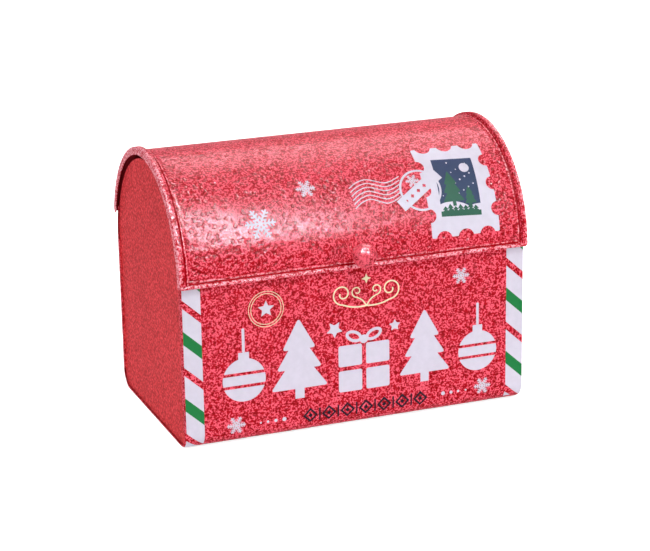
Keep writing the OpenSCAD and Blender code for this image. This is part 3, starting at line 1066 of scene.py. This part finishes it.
def tier(x, low, half, height, corner):
    """One tier of a fir tree: a triangle with rounded corners."""
    piece = disc(x, low, 1.0, 3)
    edit()
    bm = bmesh.from_edit_mesh(piece.data)
    top, *feet = sorted(bm.verts, key=lambda v: -v.co.z)
    top.co = Vector((x * MM, 0, (low + height) * MM))
    for foot, side in zip(sorted(feet, key=lambda v: v.co.x), (-1, 1)):
        foot.co = Vector(((x + side * half) * MM, 0, low * MM))
    bmesh.update_edit_mesh(piece.data)
    leave_edit()
    return rounded(piece, corner)


def fir_tree(x, foot, wide, tall, tiers):
    """Fir tree of stacked tiers on a short trunk."""
    parts = [bar(x, foot + tall * 0.07, wide * 0.16, tall * 0.15)]
    crown = tall * 0.88
    corner = min(2.2, wide * 0.06)
    for k in range(tiers):
        low = foot + tall - crown + crown * k * 0.84 / tiers
        height = crown * (0.56 - 0.04 * k) if k < tiers - 1 else foot + tall - low
        half = wide * (1 - k * 0.62 / tiers) / 2
        parts.append(tier(x, low, half, height, corner))
    return parts


def star(x, z, radius, points=5, waist=0.45, round_r=0.8):
    """Star made from a ring of corners, every other one drawn in."""
    piece = disc(x, z, radius, 2 * points)
    edit()
    ring = sorted(
        bmesh.from_edit_mesh(piece.data).verts,
        key=lambda v: math.atan2(v.co.x - x * MM, v.co.z - z * MM) % math.tau,
    )
    inner = {v.index for v in ring[1::2]}
    pick(lambda v: v.index in inner)
    bpy.ops.transform.resize(value=(waist, 1, waist), center_override=(x * MM, 0, z * MM))
    leave_edit()
    return [rounded(piece, round_r)]


def bauble(x, z, radius, top):
    """Hanging ball with a cap, a thread and two bare bands."""
    near, far = radius * 0.22, radius * 0.36
    ball = cut_away(disc(x, z, radius, 64), [(z + near, z + far), (z - far, z - near)])
    cap = bar(x, z + radius + 1.2, radius * 0.5, 3.6)
    return [ball, cap, *thread(x, z + radius + 3.6, top + 1, 1.4)]


def bow_loop(x, z, side):
    """One loop of a bow, with its hole."""
    loop = disc(x, z, 1.0, 24)
    middle = (x * MM, 0, z * MM)
    edit()
    pick_all()
    bpy.ops.transform.resize(value=(4.6, 1, 2.9), center_override=middle)
    bpy.ops.transform.rotate(value=side * math.radians(24), orient_axis="Y", center_override=middle)
    leave_edit()
    return hollow(loop, 1.5)


def gift(x, foot, wide, tall):
    """Wrapped box with a bare ribbon and a bow."""
    ribbon = 2.2
    part_w = (wide - ribbon) / 2
    part_h = (tall - ribbon) / 2
    top = foot + tall
    parts = []
    for side in (-1, 1):
        mid_x = x + side * (part_w + ribbon) / 2
        for row in (0, 1):
            mid_z = foot + part_h / 2 + row * (part_h + ribbon)
            parts.append(rounded(bar(mid_x, mid_z, part_w, part_h), 1.0))
        parts.append(bow_loop(x + side * wide * 0.195, top + 4.2, side))
    parts.append(disc(x, top + 2.2, 2.2, 24))
    return parts


def tube(points, width, closed=False):
    """Line of ink through points in millimetres, low and round across."""
    curve = bpy.data.curves.new("line", "CURVE")
    curve.dimensions = "3D"
    curve.bevel_depth = width * MM / 2
    curve.bevel_resolution = 1
    curve.use_fill_caps = True
    spline = curve.splines.new("POLY")
    spline.points.add(len(points) - 1)
    spline.use_cyclic_u = closed
    for point, (px, pz) in zip(spline.points, points):
        point.co = (px * MM, 0, pz * MM, 1)
    line = bpy.data.objects.new("line", curve)
    bpy.context.scene.collection.objects.link(line)
    select_only(line)
    bpy.ops.object.convert(target="MESH")
    line = bpy.context.object
    line.scale = (1, 2 * settings("print").ink_t / (width * MM), 1)
    return bake()


def circle_points(x, z, radius, count=72):
    """Points of a circle."""
    return [
        (x + radius * math.sin(math.tau * k / count), z + radius * math.cos(math.tau * k / count))
        for k in range(count)
    ]


def spiral_points(x, z, radius, turns, hand, steps):
    """Points of a scroll that starts below its middle and winds in from its radius."""
    points = []
    for k in range(steps + 1):
        share = k / steps
        at = HALF_TURN + hand * math.tau * turns * share
        reach = radius * (1 - 0.78 * share)
        points.append((x + reach * math.sin(at), z + reach * math.cos(at)))
    return points


def raise_ink(piece, layer):
    """Moves ink out by a number of layers, over what is printed below it."""
    place(piece, y=-layer * settings("print").ink_t)
    return piece


def lift_ink(parts, layer=0.0):
    """Joins flat shapes into one layer of ink with its thickness and without overlaps."""
    piece = join(parts)
    apply_modifier(piece, "SOLIDIFY", thickness=settings("print").ink_t, offset=1)

    # A union with a cube far below merges the overlaps, and the cube is then deleted
    bpy.ops.mesh.primitive_cube_add(size=MM, location=(0, 0, -10))
    far = bpy.context.object
    apply_modifier(piece, "BOOLEAN", operation="UNION", solver="EXACT", use_self=True, object=far)
    bpy.data.objects.remove(far)
    edit()
    pick(lambda v: v.co.z < -1)
    bpy.ops.mesh.delete(type="VERT")
    leave_edit()
    return raise_ink(piece, layer)


def slice_rows(piece, low, high, step):
    """Cuts a piece into level rows, so that it can be bent. Its sizes are in millimetres."""
    bpy.context.view_layer.objects.active = piece
    edit()
    count = int((high - low) / step)
    for k in range(count + 1):
        pick_all()
        bpy.ops.mesh.bisect(plane_co=(0, 0, (low + k * step) * MM), plane_no=(0, 0, 1))
    leave_edit()


def heights_of(piece):
    """Lowest and highest point of a piece."""
    heights = [v.co.z for v in piece.data.vertices]
    return min(heights), max(heights)


def bend_back(piece, turn, share=1.0):
    """Bends the lower share of a flat piece back through a turn."""
    apply_modifier(
        piece,
        "SIMPLE_DEFORM",
        deform_method="BEND",
        deform_axis="X",
        angle=turn,
        limits=(0, share),
    )


def lay_on_front(piece):
    """Lays a print on the front wall and over the bend at its foot."""
    base_r = settings("sheet").base_r
    low, high = heights_of(piece)
    if low < base_r - TINY:
        slice_rows(piece, low / MM, base_r / MM, 1.2)
        select_only(piece)
        bpy.context.scene.cursor.location = (0, 0, base_r)
        bpy.ops.object.origin_set(type="ORIGIN_CURSOR")
        bend_back(piece, (base_r - low) / base_r, (base_r - low) / (high - low))
        bake()
    place(piece, y=-HALF_D)


def lay_on_lid(piece):
    """Wraps a print round the vault. Its height is then measured along the arch from the front edge."""
    low, high = heights_of(piece)
    slice_rows(piece, low / MM, high / MM, 1.6)
    radius = settings("sheet").vault_r
    bend_back(piece, (high - low) / radius)
    place(piece, y=-radius, z=LID_H)


def finish_print(piece, name, kind, body, on_lid):
    """Names a print, lays it on its sheet and gives it its ink."""
    piece.name = name
    piece.data.name = name
    if on_lid:
        lay_on_lid(piece)
    else:
        lay_on_front(piece)
    recalculate_normals()
    dress(piece, kind)
    smooth(piece, 30)
    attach(piece, body)


# Heights of the stripes at a band's left edge and their fall across it, in millimetres
STRIPE_TOP = 73.0
STRIPE_PITCH = 33.6
STRIPE_WHITE = 11.4
STRIPE_GREEN = 6.7
STRIPE_FALL = 8.4

# Heights of the feet of the left and the right band. The left one runs on round the bend of the base
BAND_FEET = {-1: -1.0, 1: 2.2}

# Middle of the star and its ring, and of the scrolls, in millimetres
RING_X = -47.5
RING_Z = 67.3
SCROLL_X = 4.6

# Scrolls: places along the stem from the middle out; radius, turns and steps of the curl; width of the line
SCROLLS = (
    (((0, 62.2), (4.2, 62.0), (8.6, 62.6), (12.6, 64.0)), 5.4, 1.3, 44, 0.85),
    (((0, 62.2), (2.2, 65.2), (5.0, 67.0)), 3.0, 1.15, 30, 0.75),
)


def striped_band(side, want):
    """The white or green stripes of the band at one side."""
    look = settings("print")
    middle = side * look.band_x / MM
    foot = BAND_FEET[side]
    band_w = look.band_w / MM
    top = (LID_H + settings("sheet").front_lap) / MM - 0.5
    band = bar(middle, (top + foot) / 2, band_w, top - foot)
    fall = math.atan2(STRIPE_FALL, band_w)
    slant = (math.sin(fall), 0, math.cos(fall))
    left = middle - band_w / 2
    stripes = []
    for repeat in range(-2, 3):
        high = STRIPE_TOP - repeat * STRIPE_PITCH
        for tall, kind in ((STRIPE_WHITE, "white"), (STRIPE_GREEN, "green"), (STRIPE_WHITE, "white")):
            stripes.append((high, high - tall, kind))
            high -= tall
    edit()
    for high, low, _ in stripes:
        for at in (high, low):
            pick_all()
            bpy.ops.mesh.bisect(plane_co=(left * MM, 0, at * MM), plane_no=slant)

    def unwanted(f):
        at = f.calc_center_median() / MM
        start = at.z + (at.x - left) * STRIPE_FALL / band_w
        return not any(low < start < high and kind == want for high, low, kind in stripes)

    pick(unwanted, "FACE")
    bpy.ops.mesh.delete(type="FACE")
    leave_edit()
    return band


def dots(places, height, radii):
    """Row of dots."""
    return [disc(x, height, radius, 20) for x, radius in zip(places, radii)]


def front_white():
    """White prints of the front: flakes, dots, star and the row of ornaments."""
    parts = [striped_band(side, "white") for side in (-1, 1)]
    for x, z, radius in ((55.4, 70.9, 4.5), (-64.2, 10.2, 4.8), (67.3, 11.2, 4.6)):
        parts += snowflake(x, z, radius)
    parts += dots((-51.6, -47.9, -43.8, -39.4), 9.7, (0.5, 0.65, 0.85, 1.05))
    parts += dots((45.6, 50.0, 53.9, 58.1), 10.3, (1.05, 0.85, 0.65, 0.5))
    parts += star(RING_X, RING_Z, 4.4, round_r=0.3)
    parts += bauble(-59.5, 33.0, 11.0, 57.5)
    parts += fir_tree(-31.0, 19.5, 30.0, 41.0, 3)
    parts += gift(3.0, 19.0, 27.0, 24.0)
    parts += fir_tree(35.5, 18.5, 28.0, 38.0, 3)
    parts += bauble(64.5, 30.5, 10.5, 54.0)
    parts += star(-12.4, 52.0, 4.6)
    parts += star(19.5, 50.0, 3.4)
    return lift_ink(parts)


def front_gold():
    """Pale gold rings round the star, and scrolls with a small star in the middle."""
    lines = [tube(circle_points(RING_X, RING_Z, radius), 0.34, closed=True) for radius in (8.9, 7.7)]
    for side in (-1, 1):
        for knots, curl_r, turns, steps, width in SCROLLS:
            out, up = knots[-1]
            stem = smooth_points([(SCROLL_X + side * x, z) for x, z in knots])
            curl = spiral_points(SCROLL_X + side * out, up + curl_r, curl_r, turns, -side, steps)
            lines.append(tube(stem[:-1] + curl, width))
    lines.append(lift_ink(star(SCROLL_X, 76.0, 2.6, 4, 0.4, 0.2)))
    return join(lines)


def front_dark():
    """Dark diamonds under the ornaments, with a tick between each two."""
    middle, height, pitch = 3.7, 9.6, 9.8
    parts = []
    for k in range(-3, 4):
        x = middle + k * pitch
        parts.append(hollow(disc(x, height, 3.9, 4), 0.95))
        parts.append(disc(x, height, 1.2, 4))
        if k < 3:
            parts.append(bar(x + pitch / 2, height, 0.8, 6.4))
    return lift_ink(parts)


# Prints of the lid: X and height along the arch from the front edge, in millimetres
STAMP_X = 58.2
STAMP_S = 33.7
STAMP_W = 36.6
STAMP_H = 48.8
WINDOW_X = 57.8
WINDOW_S = 34.3
WINDOW_W = 21.5
WINDOW_H = 30.8
WINDOW_TURN = math.radians(3.5)
MARK_X = 37.8
MARK_S = 34.5
MARK_R = 10.4


def cut_out(piece, cutters):
    """Cuts flat shapes out of a flat shape, and gives it the thickness of ink."""
    cutter = join(cutters)
    apply_modifier(cutter, "SOLIDIFY", thickness=4 * MM, offset=0)
    apply_modifier(piece, "SOLIDIFY", thickness=settings("print").ink_t, offset=1)
    apply_modifier(piece, "BOOLEAN", operation="DIFFERENCE", solver="EXACT", use_self=True, object=cutter)
    bpy.data.objects.remove(cutter)
    return piece


def stamp_frame():
    """Scalloped frame of the stamp with its window."""
    piece = rounded(bar(STAMP_X, STAMP_S, STAMP_W, STAMP_H), 0.8)
    cutters = [bar(WINDOW_X, WINDOW_S, WINDOW_W, WINDOW_H, WINDOW_TURN)]
    for side in (-1, 1):
        for k in (-1, 0, 1):
            cutters.append(disc(STAMP_X + k * 11.7, STAMP_S + side * (STAMP_H / 2 + 1.1), 4.3, 40))
            cutters.append(disc(STAMP_X + side * (STAMP_W / 2 + 0.1), STAMP_S + k * 13.1, 3.5, 40))
    return cut_out(piece, cutters)


def between(t, before, start, end, after):
    """Value at a share t of the way from start to end, on a smooth line through four values."""
    square = 2 * before - 5 * start + 4 * end - after
    cube = 3 * start - before - 3 * end + after
    return 0.5 * (2 * start + (end - before) * t + square * t**2 + cube * t**3)


def smooth_points(knots, steps=8):
    """Points of a smooth line through knots."""
    ends = [knots[0], *knots, knots[-1]]
    points = []
    for four in zip(ends, ends[1:], ends[2:], ends[3:]):
        for k in range(steps):
            points.append(tuple(between(k / steps, *values) for values in zip(*four)))
    return [*points, knots[-1]]


# Knots of the postmark's top line, from its left end
WAVE = ((0.0, 0.0), (4.2, 2.6), (9.4, 3.9), (14.2, 2.5), (18.4, 1.0), (22.6, 1.5), (27.4, 3.6))


def postmark_waves():
    """Six wavy lines beside the postmark's ring, each a little shorter than the one above it."""
    lines = []
    for k in range(6):
        share = 1.0 - 0.02 * k
        knots = [(1.2 + 0.2 * k + x * share, 39.4 - 2.15 * k + s) for x, s in WAVE]
        lines.append(tube(smooth_points(knots), 0.6))
    return lines


def postmark_ring():
    """Ring crossed by a ribbon with small cut-out diamonds."""
    slope = math.radians(57)
    ring = disc(MARK_X, MARK_S, MARK_R + 0.6, 72)
    ring = cut_out(ring, [disc(MARK_X, MARK_S, MARK_R - 0.5, 72)])
    ribbon_x, ribbon_s = MARK_X - 0.4, MARK_S + 0.1
    ribbon = bar(ribbon_x, ribbon_s, 6.4, 27.6, slope)
    gems = []
    for k in range(-2, 3):
        along = k * 4.4 - 1.0
        gem_x = ribbon_x + along * math.sin(slope)
        gem_s = ribbon_s + along * math.cos(slope)
        gems.append(disc(gem_x, gem_s, 1.15, 4, slope))
    return [raise_ink(ring, 1.5), raise_ink(cut_out(ribbon, gems), 3.0)]


def lid_white():
    """White prints of the lid: flakes, the stamp's frame and the postmark."""
    flakes = snowflake(-20.6, 42.2, 4.9) + snowflake(-47.2, 27.0, 7.8) + snowflake(34.8, 39.6, 3.6)
    return join([lift_ink(flakes), stamp_frame(), *postmark_ring(), *postmark_waves()])


def stamp_sky():
    """Night sky of the stamp's picture."""
    return lift_ink([bar(WINDOW_X, WINDOW_S, WINDOW_W + 0.02, WINDOW_H + 0.02, WINDOW_TURN)], -0.5)


def in_window(across, up):
    """Place on the lid of a point of the stamp's picture, measured from the middle of its window."""
    lean_x = across * math.cos(WINDOW_TURN) + up * math.sin(WINDOW_TURN)
    lean_s = up * math.cos(WINDOW_TURN) - across * math.sin(WINDOW_TURN)
    return WINDOW_X + lean_x, WINDOW_S + lean_s


def stamp_snow():
    """Snowy ground, moon and falling snow of the stamp's picture."""
    window = bar(WINDOW_X, WINDOW_S, WINDOW_W, WINDOW_H, WINDOW_TURN)
    apply_modifier(window, "SOLIDIFY", thickness=4 * MM, offset=0)
    ground = lift_ink([disc(*in_window(-4.5, -25.0), 17.0, 64), disc(*in_window(10.5, -24.0), 14.5, 64)])
    apply_modifier(ground, "BOOLEAN", operation="INTERSECT", solver="EXACT", object=window)
    bpy.data.objects.remove(window)
    parts = [disc(*in_window(5.6, 9.8), 2.6, 40)]
    for k in range(14):
        spot = in_window(((k * 37) % 19 - 9) * 0.95, ((k * 53) % 23 - 6) * 0.82)
        parts.append(disc(*spot, 0.28 + 0.1 * (k % 3), 10))
    return join([raise_ink(ground, 0.5), lift_ink(parts, 0.5)])


def stamp_tree():
    """Fir trees of the stamp's picture, and the hedge along its foot."""
    foot = -WINDOW_H / 2
    parts = [bar(*in_window(0, foot + 1.3), WINDOW_W, 2.6, WINDOW_TURN)]
    for across, up, wide, tall in ((-3.0, 5.2, 11.5, 18.5), (5.8, 5.0, 6.4, 10.0)):
        parts += fir_tree(*in_window(across, foot + up), wide, tall, 3)
    for k, tall in enumerate((3.6, 4.8, 3.4, 4.4, 3.8, 5.0, 3.6)):
        parts += fir_tree(*in_window((k - 3) * 2.7, foot + 1.6), 4.6, tall, 2)
    return lift_ink(parts, 1.5)


PRINTS = (
    ("front_white_print", front_white, "white", "print_white", "tin", False),
    ("front_gold_print", front_gold, "gold", "print_gold", "tin", False),
    ("front_dark_print", front_dark, "dark", "print_dark", "tin", False),
    ("lid_white_print", lid_white, "white", "print_white", "lid", True),
    ("stamp_sky", stamp_sky, "night", "print_dark", "lid", True),
    ("stamp_snow", stamp_snow, "white", "print_white", "lid", True),
    ("stamp_tree", stamp_tree, "fir", "print_green", "lid", True),
)


def build_prints():
    """Every print of the front and the lid."""
    green = lift_ink([striped_band(side, "green") for side in (-1, 1)])
    finish_print(green, "front_green_print", "green", "tin", False)
    for name, draw, kind, slot, body, on_lid in PRINTS:
        finish_print(draw(), name, kind, body, on_lid)


# ---- Stage ----


def build_camera(stage):
    """Camera at the viewing angle."""
    az, el = -stage.azimuth, stage.elevation
    back = Vector((math.sin(az) * math.cos(el), -math.cos(az) * math.cos(el), math.sin(el)))
    right = Vector((math.cos(az), math.sin(az), 0))
    up = back.cross(right)
    turned_right = math.cos(stage.roll) * right + math.sin(stage.roll) * up
    turned_up = math.cos(stage.roll) * up - math.sin(stage.roll) * right
    deselect_all()
    bpy.ops.object.camera_add(location=Vector((0, 0, stage.target_h)) + stage.distance * back)
    camera = bpy.context.object
    camera.name = "camera"
    camera.rotation_euler = Matrix((turned_right, turned_up, back)).transposed().to_euler()
    camera.data.lens = stage.lens
    camera.data.sensor_width = 36
    camera.data.shift_x = stage.shift_x
    camera.data.shift_y = stage.shift_y
    camera.data.clip_end = 20
    bpy.context.scene.camera = camera


# Colours of the lamps' light
STUDIO_TINT = (0.93, 0.96, 1.0)
STRIP_TINT = (0.6, 0.9, 1.0)


def add_lamp(name, where, aim, width, height, power, only_gloss=False, tint=STUDIO_TINT):
    """Area lamp. One for gloss gives a sheen and no other light, and the others give no sheen."""
    deselect_all()
    bpy.ops.object.light_add(type="AREA", location=where)
    lamp = bpy.context.object
    lamp.name = name
    lamp.data.shape = "RECTANGLE"
    lamp.data.size = width
    lamp.data.size_y = height
    lamp.data.energy = power
    lamp.data.color = tint
    lamp.visible_diffuse = not only_gloss
    lamp.visible_glossy = only_gloss
    lamp.rotation_euler = (Vector(aim) - Vector(where)).to_track_quat("-Z", "Y").to_euler()


def camera_sees_white(tree, lit, white):
    """Shows plain white to the camera, to gloss and through glass, and the lit floor or sky to all else."""
    path = tree.nodes.new("ShaderNodeLightPath")
    seen = math_node(tree, "MAXIMUM", path.outputs["Is Camera Ray"], path.outputs["Is Glossy Ray"])
    seen = math_node(tree, "MAXIMUM", seen, path.outputs["Is Transmission Ray"])
    mix = tree.nodes.new("ShaderNodeMixShader")
    tree.links.new(seen, mix.inputs["Fac"])
    tree.links.new(lit, mix.inputs[1])
    tree.links.new(white, mix.inputs[2])
    return mix.outputs[0]


def build_sky(stage):
    """Even light round the box, seen as plain white."""
    world = bpy.data.worlds.new("studio")
    bpy.context.scene.world = world
    world.use_nodes = True
    tree = world.node_tree
    lit = tree.nodes["Background"]
    lit.inputs["Color"].default_value = (1, 1, 1, 1)
    lit.inputs["Strength"].default_value = stage.sky
    white = tree.nodes.new("ShaderNodeBackground")
    white.inputs["Color"].default_value = (1, 1, 1, 1)
    white.inputs["Strength"].default_value = 1.0
    shown = camera_sees_white(tree, lit.outputs[0], white.outputs[0])
    tree.links.new(shown, tree.nodes["World Output"].inputs["Surface"])


def build_floor():
    """Pale floor that takes the box's shadow and is otherwise seen as white."""
    deselect_all()
    bpy.ops.mesh.primitive_plane_add(size=8, location=(0, 0, 0))
    floor = name_active("floor")
    paper = bpy.data.materials.new("Pale Floor")
    paper.use_nodes = True
    tree = paper.node_tree
    shader = tree.nodes["Principled BSDF"]
    shader.inputs["Base Color"].default_value = (0.5, 0.5, 0.5, 1)
    shader.inputs["Roughness"].default_value = 0.9
    glow = tree.nodes.new("ShaderNodeEmission")
    glow.inputs["Color"].default_value = (1, 1, 1, 1)
    glow.inputs["Strength"].default_value = 0.82
    both = tree.nodes.new("ShaderNodeAddShader")
    tree.links.new(shader.outputs[0], both.inputs[0])
    tree.links.new(glow.outputs[0], both.inputs[1])
    shown = camera_sees_white(tree, shader.outputs[0], both.outputs[0])
    tree.links.new(shown, tree.nodes["Material Output"].inputs["Surface"])
    floor.data.materials.append(paper)


def build_stage():
    """Floor, sky, lamps and camera."""
    stage = settings("stage")
    build_camera(stage)
    build_sky(stage)
    build_floor()
    middle = (0, 0, 0.07)
    add_lamp("key_lamp", (1.02, -1.22, 0.36), middle, 0.2, 0.32, stage.key)
    add_lamp("upper_lamp", (0.05, -0.56, 0.85), middle, 0.14, 0.14, stage.upper)
    add_lamp("fill_lamp", (-1.26, -0.40, 0.45), middle, 0.8, 0.8, stage.fill)
    add_lamp("back_lamp", (0.34, 0.63, 0.83), middle, 0.7, 0.5, stage.back)
    left_half = (-0.07, 0, 0.1)
    lid_front = (0, -0.05, 0.09)
    add_lamp("strip_lamp", (0.17, -0.61, 0.61), left_half, 0.12, 0.6, stage.strip, True, STRIP_TINT)
    add_lamp("top_lamp", (-0.37, -0.40, 1.0), lid_front, 0.7, 0.6, stage.top, True)
    add_lamp("far_lamp", (0.42, 0.42, 0.92), middle, 0.9, 0.5, stage.far, True)
    bpy.context.scene.view_settings.view_transform = "Standard"


# ---- Operators, panel and registration ----


class TIN_OT_body_sheet(bpy.types.Operator):
    """Bend the front, base and back from one sheet"""

    bl_idname = "tin.body_sheet"
    bl_label = "Body Sheet"

    def execute(self, context):
        build_body_sheet()
        return {"FINISHED"}


class TIN_OT_lid_sheet(bpy.types.Operator):
    """Press the vaulted lid with its rims, beads and roll"""

    bl_idname = "tin.lid_sheet"
    bl_label = "Lid Sheet"

    def execute(self, context):
        build_lid_sheet()
        return {"FINISHED"}


class TIN_OT_knob(bpy.types.Operator):
    """Turn the ball knob"""

    bl_idname = "tin.knob"
    bl_label = "Knob"

    def execute(self, context):
        build_knob()
        return {"FINISHED"}


class TIN_OT_prints(bpy.types.Operator):
    """Print the front and the lid"""

    bl_idname = "tin.prints"
    bl_label = "Prints"

    def execute(self, context):
        build_prints()
        return {"FINISHED"}


class TIN_OT_metalwork(bpy.types.Operator):
    """Finish the end panels, hinges and screws"""

    bl_idname = "tin.metalwork"
    bl_label = "Panels and Hinges"

    def execute(self, context):
        dress_frame_nodes()
        return {"FINISHED"}


class TIN_OT_stage(bpy.types.Operator):
    """Set the floor, lamps and camera"""

    bl_idname = "tin.stage"
    bl_label = "Stage"

    def execute(self, context):
        build_stage()
        return {"FINISHED"}


OPERATORS = (
    TIN_OT_body_sheet,
    TIN_OT_lid_sheet,
    TIN_OT_knob,
    TIN_OT_prints,
    TIN_OT_metalwork,
    TIN_OT_stage,
)

GROUPS = {
    "sheet": TinSheetSizes,
    "knob": TinKnobSizes,
    "paint": TinPaintLook,
    "print": TinPrintLook,
    "stage": TinStageLook,
}


class TIN_PT_panel(bpy.types.Panel):
    """Buttons that build the money box"""

    bl_label = "Tin Box"
    bl_idname = "TIN_PT_panel"
    bl_space_type = "VIEW_3D"
    bl_region_type = "UI"
    bl_category = "Tin Box"

    def draw(self, context):
        for item in OPERATORS:
            self.layout.operator(item.bl_idname)


def register():
    """Registers the settings, the operators and the panel."""
    for name, group in GROUPS.items():
        bpy.utils.register_class(group)
        setattr(bpy.types.Scene, "tin_" + name, bpy.props.PointerProperty(type=group))
    for item in (*OPERATORS, TIN_PT_panel):
        bpy.utils.register_class(item)


def unregister():
    """Takes out what register put in."""
    for item in reversed((*OPERATORS, TIN_PT_panel)):
        bpy.utils.unregister_class(item)
    for name, group in GROUPS.items():
        delattr(bpy.types.Scene, "tin_" + name)
        bpy.utils.unregister_class(group)


def main():
    """Builds every piece and the stage."""
    register()
    for item in OPERATORS:
        category, name = item.bl_idname.split(".")
        getattr(getattr(bpy.ops, category), name)()


if __name__ == "__main__":
    main()
